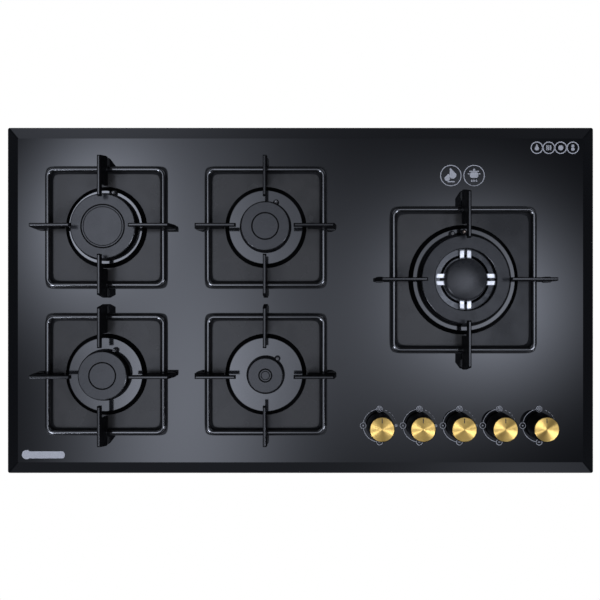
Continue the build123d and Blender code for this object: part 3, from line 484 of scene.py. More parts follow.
# %% Cap enamel
GROOVES = {
    "rear_left": (31.8, 28.6),
    "front_left": (19.6,),
    "rear_centre": (19.5,),
    "front_centre": (9.4, 6.2),
}
GROOVE_HALF_WIDTH = 1.0 * mm
FINE_HALF_WIDTH = 0.5 * mm
INNER_DOME = 1.6
INNER_CAP_SHADE = (8 * mm, 30 * mm)
RING_CAP_FROM = (36 * mm, 38 * mm)
RING_CAP_TO = (75 * mm, 80 * mm)


def ring_mask(tree, distance, radius, half_width):
    """1 within a ring of that radius, and 0 elsewhere."""
    return fall(tree, gap(tree, distance, radius), half_width, half_width + 0.15 * mm)


def make_cap_enamel():
    tree, place = new_finish("cap_enamel", IOR=1.30, Coat_IOR=1.42, Coat_Roughness=0.27)
    x, y, z = split(tree, place)
    # soot_and_shade is painted shade here: black in the grooves and on the rounded edge of each cap, with
    # the coat taken away.
    soot_and_shade = 0.0
    for name, radii in GROOVES.items():
        distance = away_from(tree, x, y, name)
        for radius in radii:
            half_width = GROOVE_HALF_WIDTH if radius == radii[0] else FINE_HALF_WIDTH
            soot_and_shade = calc(tree, "MAXIMUM", ring_mask(tree, distance, radius * mm, half_width), soot_and_shade)
    for name in BURNERS:
        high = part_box(f"burner_cap_{name}")[1]
        near = fall(tree, away_from(tree, x, y, name), high.x - burner_centre[name].x, 0.09)
        under = fall(tree, z, high.z - 0.5 * mm, high.z - 0.2 * mm)
        soot_and_shade = calc(tree, "MAXIMUM", times(tree, near, under), soot_and_shade)
    shade = patchy(tree, place, 0.012, 0.0, 1.0)
    tone = blend(tree, shade, (0.019, 0.0195, 0.021, 1), (0.024, 0.0245, 0.026, 1))
    tone = blend(tree, soot_and_shade, tone, (0.001, 0.001, 0.001, 1))
    satin = patchy(tree, place, 0.03, 0.24, 0.30)
    gloss = scaled(tree, soot_and_shade, 0.5, satin)
    from_wok = away_from(tree, x, y, "wok")
    inner = calc(tree, "MINIMUM", from_wok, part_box("wok_inner_cap")[1].x - wok.x)
    tooth = effect(tree, orange_peel, Place=place, Size=0.0007, Depth=0.00002)["Normal"]
    dome = relief(tree, times(tree, inner, inner), -INNER_DOME, Normal=tooth)
    # The inner wok cap loses its coat towards its rim and to the back right: painted shade of a dome.
    off_centre = away_from(tree, x, y, "wok", right=-4 * mm, back=-3 * mm)
    wok_cap_dimming = rise(tree, off_centre, *INNER_CAP_SHADE)
    # The outer wok cap ring keeps about a third of its coat.
    on_ring = rise(tree, from_wok, *RING_CAP_FROM)
    wok_cap_dimming = put(tree, "ShaderNodeMix", {0: on_ring, 2: wok_cap_dimming, 3: 0.65}).outputs[0]
    wok_cap_dimming = times(tree, wok_cap_dimming, fall(tree, from_wok, *RING_CAP_TO))
    coat = opposite(tree, calc(tree, "MAXIMUM", soot_and_shade, wok_cap_dimming))
    feed(tree, tone, gloss, Normal=dome, Coat_Weight=coat)


make_cap_enamel()

# %% [markdown]
# ## Cast and sheet metals
# The crowns, cups and taps are die castings, so they share one recipe with different
# colours and grain. Above the glass the crowns and cups are painted nearly black as the
# shade under the caps. Only the ribs of the wok burner keep bare bright aluminium, and the
# cups are bright below the glass. Each casting is therefore given two colours and a mask
# that picks one.

# %% Castings
def finish_casting(tree, place, colours, mask, smooth, rough, grain, depth):
    """Grain, pits and gloss of a casting, between a dark and a bright colour."""
    dark, bright = colours
    gloss = patchy(tree, place, 0.01, smooth, rough)
    grit = effect(tree, cast_grain, Place=place, Size=grain, Depth=depth)
    base = blend(tree, mask, dark + (1,), bright + (1,))
    pits = times(tree, grit["Pits"], 0.5)
    tone = blend(tree, pits, base, tuple(0.5 * channel for channel in dark) + (1,))
    feed(tree, tone, gloss, Normal=grit["Normal"])


WELL_EDGE = (46.6 * mm, 47.2 * mm)
RIB_MIDDLE = 37.9 * mm
RIB_OFFSET = 5.25 * mm
UNSHADED_RIB_LENGTH = (3.8 * mm, 6.2 * mm)
UNSHADED_RIB_WIDTH = (2.0 * mm, 3.6 * mm)


def make_crown_aluminium():
    """Painted dark as shade under the caps; greyer in the wok crown's open well, painted lighter to its
    left; bright on the rib tops.
    """
    tree, place = new_finish("crown_aluminium", Metallic=1.0)
    x, y, z = split(tree, place)
    away_x = minus(tree, x, wok.x)
    away_y = minus(tree, y, wok.y)
    radius = length_of(tree, away_x, away_y)
    in_well = fall(tree, radius, *WELL_EDGE)
    # Painted light: the floor of the well is lighter to the left.
    left = fall(tree, away_x, -25 * mm, 15 * mm)
    floor = blend(tree, left, (0.045, 0.046, 0.048, 1), (0.110, 0.112, 0.116, 1))
    # Outside the open well the crown is painted nearly black as the shade under the caps.
    well = blend(tree, in_well, (0.012, 0.012, 0.013, 1), floor)
    on_rib = rise(tree, z, glass_top + 10.2 * mm, glass_top + 10.8 * mm)
    along = fall(tree, gap(tree, radius, RIB_MIDDLE), *UNSHADED_RIB_LENGTH)
    beside = calc(tree, "MINIMUM", calc(tree, "ABSOLUTE", away_x), calc(tree, "ABSOLUTE", away_y))
    across = fall(tree, gap(tree, beside, RIB_OFFSET), *UNSHADED_RIB_WIDTH)
    ribs = times(tree, on_rib, times(tree, along, across))
    # The rib tops keep the bright colour of bare aluminium over a patch of the given size.
    tone = blend(tree, ribs, well, (0.80, 0.80, 0.81, 1))
    gloss = patchy(tree, place, 0.01, 0.24, 0.34)
    grit = effect(tree, cast_grain, Place=place, Size=0.0009, Depth=0.00002)
    feed(tree, tone, gloss, Normal=grit["Normal"])


def make_cast_aluminium():
    """Bright below the glass, and painted dark above it as the shade under the cap."""
    tree, place = new_finish("cast_aluminium", Metallic=1.0)
    height = split(tree, place)[2]
    below = fall(tree, height, glass_top - 2 * mm, glass_top + 2 * mm)
    # The dark colour above the glass is painted shade under the cap.
    colours = ((0.015, 0.015, 0.016), (0.52, 0.52, 0.53))
    finish_casting(tree, place, colours, below, 0.34, 0.48, 0.0012, 0.00005)


def make_tap_casting():
    tree, place = new_finish("tap_casting", Metallic=1.0)
    cloud = patchy(tree, place, 0.015, 0.0, 1.0)
    colours = ((0.48, 0.48, 0.50), (0.60, 0.60, 0.62))
    finish_casting(tree, place, colours, cloud, 0.36, 0.50, 0.0011, 0.00005)


make_crown_aluminium()
make_cast_aluminium()
make_tap_casting()

# %% [markdown]
# ## Galvanised sheet
# The zinc on the steel box freezes in flat crystals, each of which leans a little its own
# way. A Voronoi texture with a random value per cell is the natural match.

# %% Galvanised sheet
def make_galvanised():
    tree, place = new_finish("galvanised_steel", Metallic=1.0)
    crystals = put(tree, "ShaderNodeTexVoronoi", {"Vector": place, "Scale": 95.0})
    lean = put(tree, "ShaderNodeSeparateColor", {0: crystals.outputs["Color"]}).outputs[0]
    streaks = noise(tree, place, 420.0, 2.0)
    tone = blend(tree, lean, (0.50, 0.51, 0.52, 1), (0.66, 0.67, 0.69, 1))
    gloss = scaled(tree, lean, 0.16, 0.30)
    height = scaled(tree, streaks, 0.25, lean)
    feed(tree, tone, gloss, Normal=relief(tree, height, 0.00003))


make_galvanised()


# %% [markdown]
# ## Turned, drawn and plated metals
# Spindles, injectors and the gas inlet are turned on a lathe, pipes are drawn, and screws
# are zinc plated. They are small, so one recipe covers them: a metal colour, a slow change
# of gloss, a fine scratch pattern stretched along one direction, and slight tarnish.

# %% Small metal pieces
def make_worked_metal(name, colour, tarnish, smooth, rough, stretch):
    tree, place = new_finish(name, Metallic=1.0)
    drawn = put(tree, "ShaderNodeMapping", {"Vector": place, "Scale": stretch}).outputs[0]
    lines = noise(tree, drawn, 900.0, 2.0)
    stain = patchy(tree, place, 0.02, 0.0, 1.0)
    tone = blend(tree, stain, colour + (1,), tarnish + (1,))
    gloss = remap(tree, lines, 0.3, 0.7, smooth, rough)
    feed(tree, tone, gloss, Normal=relief(tree, lines, 0.00001))


ALONG_Z = (1.0, 1.0, 12.0)
EVEN = (1.0, 1.0, 1.0)
# colour, tarnish, smooth, rough, stretch
WORKED_METALS = {
    "brass": ((0.78, 0.57, 0.25), (0.62, 0.43, 0.18), 0.20, 0.34, ALONG_Z),
    "inlet_brass": ((0.80, 0.60, 0.28), (0.66, 0.47, 0.20), 0.16, 0.30, EVEN),
    "pipe_aluminium": ((0.78, 0.78, 0.79), (0.66, 0.66, 0.68), 0.26, 0.40, EVEN),
    "zinc_screws": ((0.70, 0.71, 0.70), (0.60, 0.60, 0.52), 0.24, 0.40, EVEN),
    "spindle_steel": ((0.62, 0.62, 0.63), (0.50, 0.50, 0.51), 0.18, 0.30, ALONG_Z),
    "sensor_metal": ((0.62, 0.48, 0.36), (0.42, 0.34, 0.30), 0.30, 0.45, ALONG_Z),
}
for name, recipe in WORKED_METALS.items():
    make_worked_metal(name, *recipe)

# %% [markdown]
# ## Plastics, rubbers and ceramic
# The soft black pieces differ mostly in how they scatter light: moulded plastic has a faint
# sheen and a fine spark-eroded texture, rubber is duller, foam is full of open cells. The
# spark plugs are glazed white ceramic, which is glossy and a little warm in tone.

# %% Moulded pieces
def make_moulded(name, colour, smooth, rough, grain, depth, index=1.5):
    tree, place = new_finish(name, IOR=index)
    gloss = patchy(tree, place, 0.015, smooth, rough)
    grit = effect(tree, cast_grain, Place=place, Size=grain, Depth=depth)
    worn = tuple(min(1.0, 1.35 * channel) for channel in colour) + (1,)
    faint = times(tree, grit["Pits"], 0.5)
    tone = blend(tree, faint, colour + (1,), worn)
    feed(tree, tone, gloss, Normal=grit["Normal"])


# colour, smooth, rough, size and depth of the grain
MOULDED = {
    "black_plastic": ((0.020, 0.020, 0.022), 0.42, 0.55, 0.0006, 0.00002),
    "rubber": ((0.022, 0.022, 0.022), 0.62, 0.75, 0.0008, 0.00002),
    "foam": ((0.028, 0.028, 0.029), 0.85, 0.95, 0.0012, 0.00020),
    "lead_rubber": ((0.30, 0.035, 0.025), 0.45, 0.55, 0.0010, 0.00001),
    "knob_black": ((0.003, 0.003, 0.004), 0.38, 0.48, 0.0010, 0.00001, 1.12),
}
for name, recipe in MOULDED.items():
    make_moulded(name, *recipe)


# %% Glazed ceramic
def make_ceramic():
    """White below the glass, greyed by soot where the flame is."""
    tree, place = new_finish("ceramic", IOR=1.55, Coat_Weight=0.5, Coat_Roughness=0.08)
    height = split(tree, place)[2]
    soot_and_shade = rise(tree, height, glass_top, glass_top + 5 * mm)
    speckle = patchy(tree, place, 0.0012, 0.0, 1.0)
    unsoiled_unshaded = blend(tree, speckle, (0.74, 0.73, 0.69, 1), (0.82, 0.81, 0.78, 1))
    soot = blend(tree, speckle, (0.07, 0.07, 0.07, 1), (0.13, 0.125, 0.12, 1))
    tone = blend(tree, soot_and_shade, unsoiled_unshaded, soot)
    gloss = patchy(tree, place, 0.004, 0.16, 0.28)
    normal = effect(tree, orange_peel, Place=place, Size=0.002, Depth=0.00001)["Normal"]
    feed(tree, tone, gloss, Normal=normal)


make_ceramic()

# %% [markdown]
# ## The spun face of a knob
# The brass-coloured faces are brushed on a turning table, so thousands of grooves run
# round the centre. Light that falls on such a face is spread across the grooves and stays
# narrow along them, which makes the bright fans that seem to turn as one walks past. The
# anisotropic setting does exactly this, with its direction taken round the disc's axis.
# A little real groove relief is added for close views. The five knobs stand in a row at
# one pitch, so wrapping x by that pitch puts every disc's centre at zero. Spinning leaves
# the face very slightly domed, so one half of each fan is brighter than the other.

# %% Spun knob faces
DISC_SLOPE = 0.05


def make_knob_face():
    tree, place = new_finish("knob_face", Metallic=1.0, Anisotropic=0.97, Anisotropic_Rotation=0.25)
    pitch = knob_centre[1].x - knob_centre[0].x
    x, y = split(tree, place)[:2]
    x = calc(tree, "WRAP", minus(tree, x, knob_centre[0].x), pitch / 2, -pitch / 2)
    y = minus(tree, y, knob_centre[0].y)
    centred = put(tree, "ShaderNodeCombineXYZ", {0: x, 1: y}).outputs[0]
    grooves = effect(tree, turned_rings, Place=centred, Pitch=0.00022, Depth=0.000006)
    from_centre = put(tree, "ShaderNodeVectorMath", {0: centred}, operation="LENGTH")
    domed = relief(tree, from_centre.outputs["Value"], -DISC_SLOPE, Normal=grooves["Normal"])
    tone = blend(tree, grooves["Rings"], (0.84, 0.53, 0.140, 1), (0.99, 0.68, 0.215, 1))
    gloss = remap(tree, grooves["Rings"], 0.3, 0.7, 0.35, 0.40)
    round_axis = put(tree, "ShaderNodeTangent", direction_type="RADIAL", axis="Z").outputs[0]
    feed(tree, tone, gloss, Normal=domed, Tangent=round_axis)


make_knob_face()


# %% [markdown]
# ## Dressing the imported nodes
# The record says which finish each node has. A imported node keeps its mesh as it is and
# only gets the material in its slot.

# %% Put each finish on its nodes
rows = frame["record"]["subparts"]
for row in rows:
    paint(nodes[row["node"]], row["material_slot"])
print("dressed", len(rows), "nodes in", len(FINISHES), "finishes")

# %% [markdown]
# ## Marks fired on the glass
# The dials round the knobs and the small round signs are printed in pale ceramic ink and
# fired with the glass. Ink could be a pattern inside the glass material, but then it has
# no edge and no thickness of its own. Here each mark is a real film, 0.03 mm thick, that
# stands on the glass. The signs carry plain motifs of this script's own, such as a drop,
# bars or a pot, and the small pale plate at the front left is plain.

# %% Selecting, and edit mode
def deselect():
    bpy.ops.object.select_all(action="DESELECT")


def pick(piece):
    """Select one piece alone and work on it."""
    deselect()
    piece.select_set(True)
    bpy.context.view_layer.objects.active = piece


def settle():
    """Move the place, turn and size of the active piece into its mesh."""
    bpy.ops.object.transform_apply()


def open_all():
    """Enter edit mode with everything selected."""
    bpy.ops.object.mode_set(mode="EDIT")
    bpy.ops.mesh.select_all(action="SELECT")


def open_some(piece, kind, wanted):
    """Enter edit mode with only the wanted corners, edges or faces selected."""
    bpy.ops.object.mode_set(mode="EDIT")
    bpy.ops.mesh.select_mode(type=kind)
    bpy.ops.mesh.select_all(action="DESELECT")
    close()
    elements = {"VERT": piece.data.vertices, "EDGE": piece.data.edges, "FACE": piece.data.polygons}
    for element in elements[kind]:
        element.select = wanted(element)
    bpy.ops.object.mode_set(mode="EDIT")


def close():
    """Leave edit mode."""
    bpy.ops.object.mode_set(mode="OBJECT")


# %% Discs, rings, bars and drops
INK_THICKNESS = 0.03 * mm


def flat_disc(x, y, radius, sides=32):
    """A filled disc on the glass, with its place already in its mesh."""
    bpy.ops.mesh.primitive_circle_add(
        vertices=sides, radius=radius, fill_type="NGON", location=(x, y, glass_top)
    )
    settle()
    return bpy.context.object


def flat_ring(x, y, radius, stroke, sides=64):
    """A ring: a disc is inset by the stroke and its middle is taken out."""
    piece = flat_disc(x, y, radius + stroke / 2, sides)
    open_all()
    bpy.ops.mesh.inset(thickness=stroke)
    bpy.ops.mesh.delete(type="FACE")
    close()
    return piece


def flat_bar(x, y, width, height):
    """A bar with rounded corners: a square is sized, then its corners are bevelled."""
    bpy.ops.mesh.primitive_plane_add(size=1.0, location=(x, y, glass_top))
    piece = bpy.context.object
    piece.scale = (width, height, 1.0)
    settle()
    open_all()
    bpy.ops.mesh.bevel(offset=0.4 * min(width, height), segments=5, affect="VERTICES")
    close()
    return piece


def flat_drop(x, y, radius, stretch, turn=0.0):
    """A flame or drop: the top of a disc is pulled up to a point, then it is turned."""
    piece = flat_disc(x, y, radius)
    for share in (0.15, 0.6, 0.9):
        open_some(piece, "VERT", lambda corner: corner.co.y - y > share * radius)
        bpy.ops.transform.translate(value=(0, stretch * radius / 3, 0))
        bpy.ops.transform.resize(value=(0.72, 1, 1), center_override=(x, y, glass_top))
        close()
    open_all()
    bpy.ops.transform.rotate(value=turn, orient_axis="Z", center_override=(x, y, glass_top))
    close()
    return piece


# %% Joining and thickening
def join_pieces(pieces, name):
    """Join several pieces into one and give it a name."""
    deselect()
    for piece in pieces:
        piece.select_set(True)
    bpy.context.view_layer.objects.active = pieces[0]
    bpy.ops.object.join()
    pieces[0].name = name
    return pieces[0]


def thicken(piece, thickness):
    """Give a flat piece its thickness upwards."""
    pick(piece)
    solidify = piece.modifiers.new("thickness", "SOLIDIFY")
    solidify.thickness = thickness
    solidify.offset = 1.0
    bpy.ops.object.modifier_apply(modifier="thickness")


# %% The ink
def make_ink(name, pale, thin):
    """Fired ceramic ink: matt, and a little uneven in how well it covers."""
    tree, place = new_finish(name, IOR=1.5)
    cover = patchy(tree, place, 0.0015, 0.0, 1.0)
    tone = blend(tree, cover, (thin, thin, 1.03 * thin, 1), (pale, pale, 1.03 * pale, 1))
    gloss = patchy(tree, place, 0.004, 0.45, 0.6)
    feed(tree, tone, gloss)


make_ink("dial_ink", 0.52, 0.42)
make_ink("sign_ink", 0.50, 0.42)
make_ink("plate_ink", 0.56, 0.47)

# %% [markdown]
# ## A dial round each knob
# From the off mark at nine o'clock a solid line runs up to full flame and down to the
# small flame, and a line of shrinking dashes goes on to the right. A dial is made once,
# round the first knob, and copied to the others.

# %% One dial
DIAL_RADIUS = 24.8 * mm
DIAL_STROKE = 0.75 * mm
MARKER_RADIUS = 4.4 * mm


def dial_place(degrees_round):
    """A point on the first knob's dial, by its angle from three o'clock."""
    turn = radians(degrees_round)
    return knob_centre[0].x + DIAL_RADIUS * cos(turn), knob_centre[0].y + DIAL_RADIUS * sin(turn)


def dial_arc(start, end, stroke):
    """Part of the dial's circle. The faces outside the arc are deleted."""
    centre = knob_centre[0]
    piece = flat_ring(centre.x, centre.y, DIAL_RADIUS, stroke, sides=180)

    def outside(face):
        angle = degrees(atan2(face.center.y - centre.y, face.center.x - centre.x)) % 360
        return not start < angle < end

    open_some(piece, "FACE", outside)
    bpy.ops.mesh.delete(type="FACE")
    close()
    return piece


def make_dial():
    """Two arcs, four dashes, three marker rings and the signs in and beside them."""
    parts = [dial_arc(100, 170, DIAL_STROKE), dial_arc(190, 260, DIAL_STROKE)]
    for start, stroke in ((62, 0.75), (47, 0.65), (33, 0.55), (18, 0.45)):
        parts.append(dial_arc(start, start + 9, stroke * mm))
    for angle in (90, 180, 270):
        parts.append(flat_ring(*dial_place(angle), MARKER_RADIUS, 0.8 * mm))
    parts.append(flat_disc(*dial_place(180), 1.1 * mm))
    full_x, full_y = dial_place(90)
    parts.append(flat_disc(full_x, full_y, 1.0 * mm))
    for petal in range(6):
        turn = radians(60 * petal)
        parts.append(flat_disc(full_x + 2.4 * mm * cos(turn), full_y + 2.4 * mm * sin(turn), 0.85 * mm))
    parts.append(flat_bar(*dial_place(270), 3.6 * mm, 0.9 * mm))
    parts.append(flat_disc(*dial_place(0), 2.2 * mm))
    dial = join_pieces(parts, "dial_1")
    thicken(dial, INK_THICKNESS)
    return dial


first_dial = make_dial()
paint(first_dial, "dial_ink")
dials = [first_dial]
for number in KNOBS[1:]:
    pick(first_dial)
    bpy.ops.object.duplicate()
    dial = bpy.context.object
    dial.name = f"dial_{number}"
    dial.location.x = knob_centre[number - 1].x - knob_centre[0].x
    settle()
    dials.append(dial)
print("made", len(dials), "dials of", len(first_dial.data.polygons), "faces each")

# %% [markdown]
# ## Signs on the glass
# Two larger round signs stand behind the wok burner, and a row of four small ones in the
# rear right corner. They say, in pictures, what the glass and burners can bear. Each is a
# ring with a few drops, discs and bars in it, so a list of these is all that a sign needs.

# %% What is in each sign
# kind, place to the right and back, then sizes, all in millimetres. A drop has a radius,
# its stretch as a share of it, and a turn in radians.
SIGN_MOTIFS = {
    "flame": (
        ("drop", 2.8, 1.0, 5.6, 0.9, -0.35),
        ("drop", -5.4, -4.0, 4.2, 0.7, 0.30),
        ("bar", 0.5, -9.2, 11.0, 1.8),
    ),
    "pot": (
        ("bar", 0.0, 0.8, 13.0, 8.6),
        ("bar", 0.0, 6.4, 14.6, 1.7),
        ("disc", 0.0, 8.6, 1.7),
        ("bar", -8.2, 2.6, 2.6, 1.6),
        ("bar", 8.2, 2.6, 2.6, 1.6),
        ("drop", -3.4, -8.2, 1.4, 0.9),
        ("drop", 0.0, -8.2, 1.4, 0.9),
        ("drop", 3.4, -8.2, 1.4, 0.9),
    ),
    "drop": (("drop", 0.0, -0.8, 3.3, 0.9),),
    "bars": (("bar", -2.8, 0.0, 1.7, 7.6), ("bar", 0.0, 0.0, 1.7, 7.6), ("bar", 2.8, 0.0, 1.7, 7.6)),
    "tile": (("bar", 0.0, 0.0, 7.4, 7.4),),
    "tap": (("disc", 0.0, 2.6, 2.3), ("bar", 0.0, -2.2, 5.4, 4.6)),
}


def make_sign(name, x, y, radius, stroke):
    shapes = [flat_ring(x * mm, y * mm, radius, stroke)]
    for kind, right, back, first, *more in SIGN_MOTIFS[name]:
        at = (x * mm + right * mm, y * mm + back * mm)
        if kind == "drop":
            shapes.append(flat_drop(*at, first * mm, *more))
        elif kind == "disc":
            shapes.append(flat_disc(*at, first * mm))
        else:
            shapes.append(flat_bar(*at, first * mm, more[0] * mm))
    return join_pieces(shapes, f"sign_{name}")


# %% Two large signs behind the wok burner, and four small ones in the corner
LARGE_ROW = 187.8
LARGE_SIGNS = {"flame": 226.2, "pot": 261.2}
LARGE_RADIUS_STROKE = (15.4 * mm, 1.2 * mm)
SMALL_ROW = 229.6
SMALL_SIGNS = {"drop": 355.6, "bars": 373.6, "tile": 391.5, "tap": 409.7}
SMALL_RADIUS_STROKE = (8.6 * mm, 1.5 * mm)
signs = [make_sign(name, x, LARGE_ROW, *LARGE_RADIUS_STROKE) for name, x in LARGE_SIGNS.items()]
signs += [make_sign(name, x, SMALL_ROW, *SMALL_RADIUS_STROKE) for name, x in SMALL_SIGNS.items()]
for sign in signs:
    thicken(sign, INK_THICKNESS)
    paint(sign, "sign_ink")
print("made", len(signs), "signs")


# %% The plain plate
PLATE_BAR = (-383.0 * mm, -232.4 * mm, 57.0 * mm, 10.6 * mm)
PLATE_BOSS = (-412.0 * mm, -232.0 * mm, 6.9 * mm)


def combine(piece, tool, operation):
    """A Boolean with an exact solver, applied, after which the tool is gone."""
    pick(piece)
    boolean = piece.modifiers.new("combine", "BOOLEAN")
    boolean.operation = operation
    boolean.solver = "EXACT"
    boolean.object = tool
    bpy.ops.object.modifier_apply(modifier="combine")
    bpy.data.objects.remove(tool)


def make_bare_plate():
    """A long plate with round ends and a round boss at its left end, which stands proud."""
    plate = flat_bar(*PLATE_BAR)
    boss = flat_disc(*PLATE_BOSS, sides=48)
    thicken(plate, INK_THICKNESS)
    thicken(boss, 2 * INK_THICKNESS)
    combine(plate, boss, "UNION")
    plate.name = "bare_plate"
    paint(plate, "plate_ink")
    return plate


bare_plate = make_bare_plate()
for piece in dials + signs + [bare_plate]:
    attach(piece, "root")
print("made a plain plate of", len(bare_plate.data.polygons), "faces")

# %% [markdown]
# ## The pointer in each knob face
# A short slot is cut in the spun face and filled with dark paint. The slot is in the
# packed disc. Its paint is a thin bar that lies just under the surface, and it turns with
# the knob.

# %% Painted pointers
POINTER_SIZE = (1.26 * mm, 6.96 * mm, 0.36 * mm)


def make_pointer(number):
    disc_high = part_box(f"knob_disc_{number}")[1]
    centre = knob_centre[number - 1]
    place = (centre.x, disc_high.y - 5.0 * mm, disc_high.z - 0.4 * mm)
    bpy.ops.mesh.primitive_cube_add(size=1.0, location=place)
    piece = bpy.context.object
    piece.scale = POINTER_SIZE
    settle()
    open_all()
    bpy.ops.mesh.bevel(offset=0.05 * mm, segments=2)
    close()
    piece.name = f"pointer_{number}"
    paint(piece, "pointer_paint")
    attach(piece, f"knob_{number}")
    return piece


make_ink("pointer_paint", 0.03, 0.02)
pointers = [make_pointer(number) for number in KNOBS]
print("painted", len(pointers), "pointers")

# %% [markdown]
# ## The threaded gas inlet
# The gas hose screws on to a brass inlet at the back, with a half-inch pipe thread of 14
# turns to the inch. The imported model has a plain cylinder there, because a thread is a
# spiral and not a turned shape. A Screw modifier is made for this: it turns a zigzag
# profile once round an axis while it climbs by one pitch, so every tooth meets the next.
# The spiral is then trimmed by a plain chamfered blank and bored. It is modelled upright
# at the origin and laid down at the end.

# %% Sizes of the inlet
THREAD_PITCH = 1.814 * mm
THREAD_CREST = 10.4775 * mm
THREAD_ROOT = 9.35 * mm
THREAD_FLAT = 0.28 * mm
THREAD_LENGTH = 14.0 * mm
BODY_LENGTH = 30.0 * mm
BODY_RADIUS = 9.5 * mm
BORE_RADIUS = 5.6 * mm
SOCKET_RADIUS = 7.0 * mm
SOCKET_DEPTH = 8.0 * mm
FLANGE = 3.0 * mm
FLANGE_WIDTH = 28.0 * mm
FLANGE_HEIGHT = 40.0 * mm
FLANGE_HIGH = BODY_LENGTH + FLANGE
SCREW_RADIUS = 1.5 * mm
SCREW_FROM_AXIS = 16 * mm


# %% Upright cylinders
def cylinder(radius, bottom, top, y=0.0):
    """A closed cylinder between two heights."""
    place = (0, y, (bottom + top) / 2)
    bpy.ops.mesh.primitive_cylinder_add(vertices=96, radius=radius, depth=top - bottom, location=place)
    settle()
    return bpy.context.object


# %% The spiral
def make_spiral(start, turns):
    """A closed solid with a thread all round, longer than needed at both ends."""
    bpy.ops.mesh.primitive_plane_add(size=0.002, location=(THREAD_ROOT, 0, start))
    settle()
    spiral = bpy.context.object
    open_all()
    bpy.ops.mesh.merge(type="CENTER")
    depth = THREAD_CREST - THREAD_ROOT
    flank = THREAD_PITCH / 2 - THREAD_FLAT
    for step in ((0, THREAD_FLAT), (depth, flank), (0, THREAD_FLAT), (-depth, flank)) * turns:
        bpy.ops.mesh.extrude_region_move(TRANSFORM_OT_translate={"value": (step[0], 0, step[1])})
    close()
    screw = spiral.modifiers.new("thread", "SCREW")
    screw.axis = "Z"
    screw.screw_offset = THREAD_PITCH
    screw.steps = 64
    screw.render_steps = 64
    bpy.ops.object.modifier_apply(modifier="thread")
    open_all()
    bpy.ops.mesh.remove_doubles(threshold=0.01 * mm)
    bpy.ops.mesh.select_all(action="DESELECT")
    bpy.ops.mesh.select_non_manifold()
    bpy.ops.mesh.fill_holes(sides=0)
    bpy.ops.mesh.select_all(action="SELECT")
    bpy.ops.mesh.normals_make_consistent(inside=False)
    close()
    return spiral


def make_blank(radius, bottom, top):
    """A cylinder with its upper rim chamfered."""
    blank = cylinder(radius, bottom, top)
    rim = [corner.co.z > top - 0.1 * mm for corner in blank.data.vertices]
    open_some(blank, "EDGE", lambda edge: all(rim[index] for index in edge.vertices))
    bpy.ops.mesh.bevel(offset=1.0 * mm, segments=1)
    close()
    return blank


# %% The inlet
def make_inlet():
    inlet = make_spiral(FLANGE_HIGH - 4 * THREAD_PITCH, 15)
    blank = make_blank(THREAD_CREST + 0.01 * mm, FLANGE_HIGH - FLANGE / 2, FLANGE_HIGH + THREAD_LENGTH)
    combine(inlet, blank, "INTERSECT")
    flange = flat_bar(0, 0, FLANGE_WIDTH, FLANGE_HEIGHT)
    flange.location.z = BODY_LENGTH - glass_top
    settle()
    thicken(flange, FLANGE)
    combine(inlet, flange, "UNION")
    combine(inlet, cylinder(BODY_RADIUS, 0, BODY_LENGTH + FLANGE / 2), "UNION")
    combine(inlet, cylinder(BORE_RADIUS, -5 * mm, 60 * mm), "DIFFERENCE")
    combine(inlet, cylinder(SOCKET_RADIUS, -5 * mm, SOCKET_DEPTH), "DIFFERENCE")
    for side in (-1, 1):
        place = side * SCREW_FROM_AXIS
        hole = cylinder(SCREW_RADIUS, BODY_LENGTH - FLANGE, FLANGE_HIGH + FLANGE, place)
        combine(inlet, hole, "DIFFERENCE")
    low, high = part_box("gas_inlet")
    pick(inlet)
    inlet.rotation_euler.x = radians(-90)
    inlet.location = ((low.x + high.x) / 2, low.y, (low.z + high.z) / 2)
    settle()
    open_all()
    bpy.ops.mesh.remove_doubles(threshold=0.002 * mm)
    close()
    bpy.ops.object.shade_smooth_by_angle(angle=radians(30))
    inlet.name = "threaded_inlet"
    paint(inlet, "inlet_brass")
    return inlet


threaded_inlet = make_inlet()
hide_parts("gas_inlet")
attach(threaded_inlet, "root")
print("threaded inlet of", len(threaded_inlet.data.polygons), "faces")

# %% [markdown]
# ## The studio
# The photograph looks straight down from about a metre above the glass, so the picture is
# mostly what a black mirror shows of the ceiling. The light is therefore designed as an
# image: soft patches overhead, each at the place where the glass shows its reflection.
# A direction is written as u and v, how far it leans right and back for one unit up.
# Straight up is (0, 0). The last four patches are long strips low at the back and front,
# which only the rear and front bevels mirror. The left and right bevels face the dark.

# %% Soft patches of light overhead
# place u, place v, width, depth, turn in radians, strength
CEILING_PATCHES = (
    (-0.18, -0.16, 0.16, 0.37, -0.05, 2.2),
    (-0.33, 0.13, 0.10, 0.14, -0.40, 3.0),
    (0.30, 0.00, 0.12, 0.13, 0.84, 3.0),
    (0.16, -0.04, 0.16, 0.20, 0.05, 0.8),
    (-0.48, 1.19, 0.37, 0.14, 0.0, 0.50),
    (0.20, 1.19, 1.20, 0.14, 0.0, 0.09),
    (0.52, -1.19, 0.27, 0.14, 0.0, 0.33),
    (-0.10, -1.19, 1.20, 0.14, 0.0, 0.12),
)


def ceiling_patch(tree, u, v, patch):
    """A soft oval of light, brightest in the middle."""
    centre_u, centre_v, width, depth, turn, strength = patch
    along = minus(tree, u, centre_u)
    across = minus(tree, v, centre_v)
    wide, deep = (cos(turn) / width, sin(turn) / width), (-sin(turn) / depth, cos(turn) / depth)
    first = scaled(tree, along, wide[0], times(tree, across, wide[1]))
    second = scaled(tree, along, deep[0], times(tree, across, deep[1]))
    squared = scaled(tree, first, first, times(tree, second, second))
    return times(tree, calc(tree, "EXPONENT", times(tree, squared, -1.0)), strength)


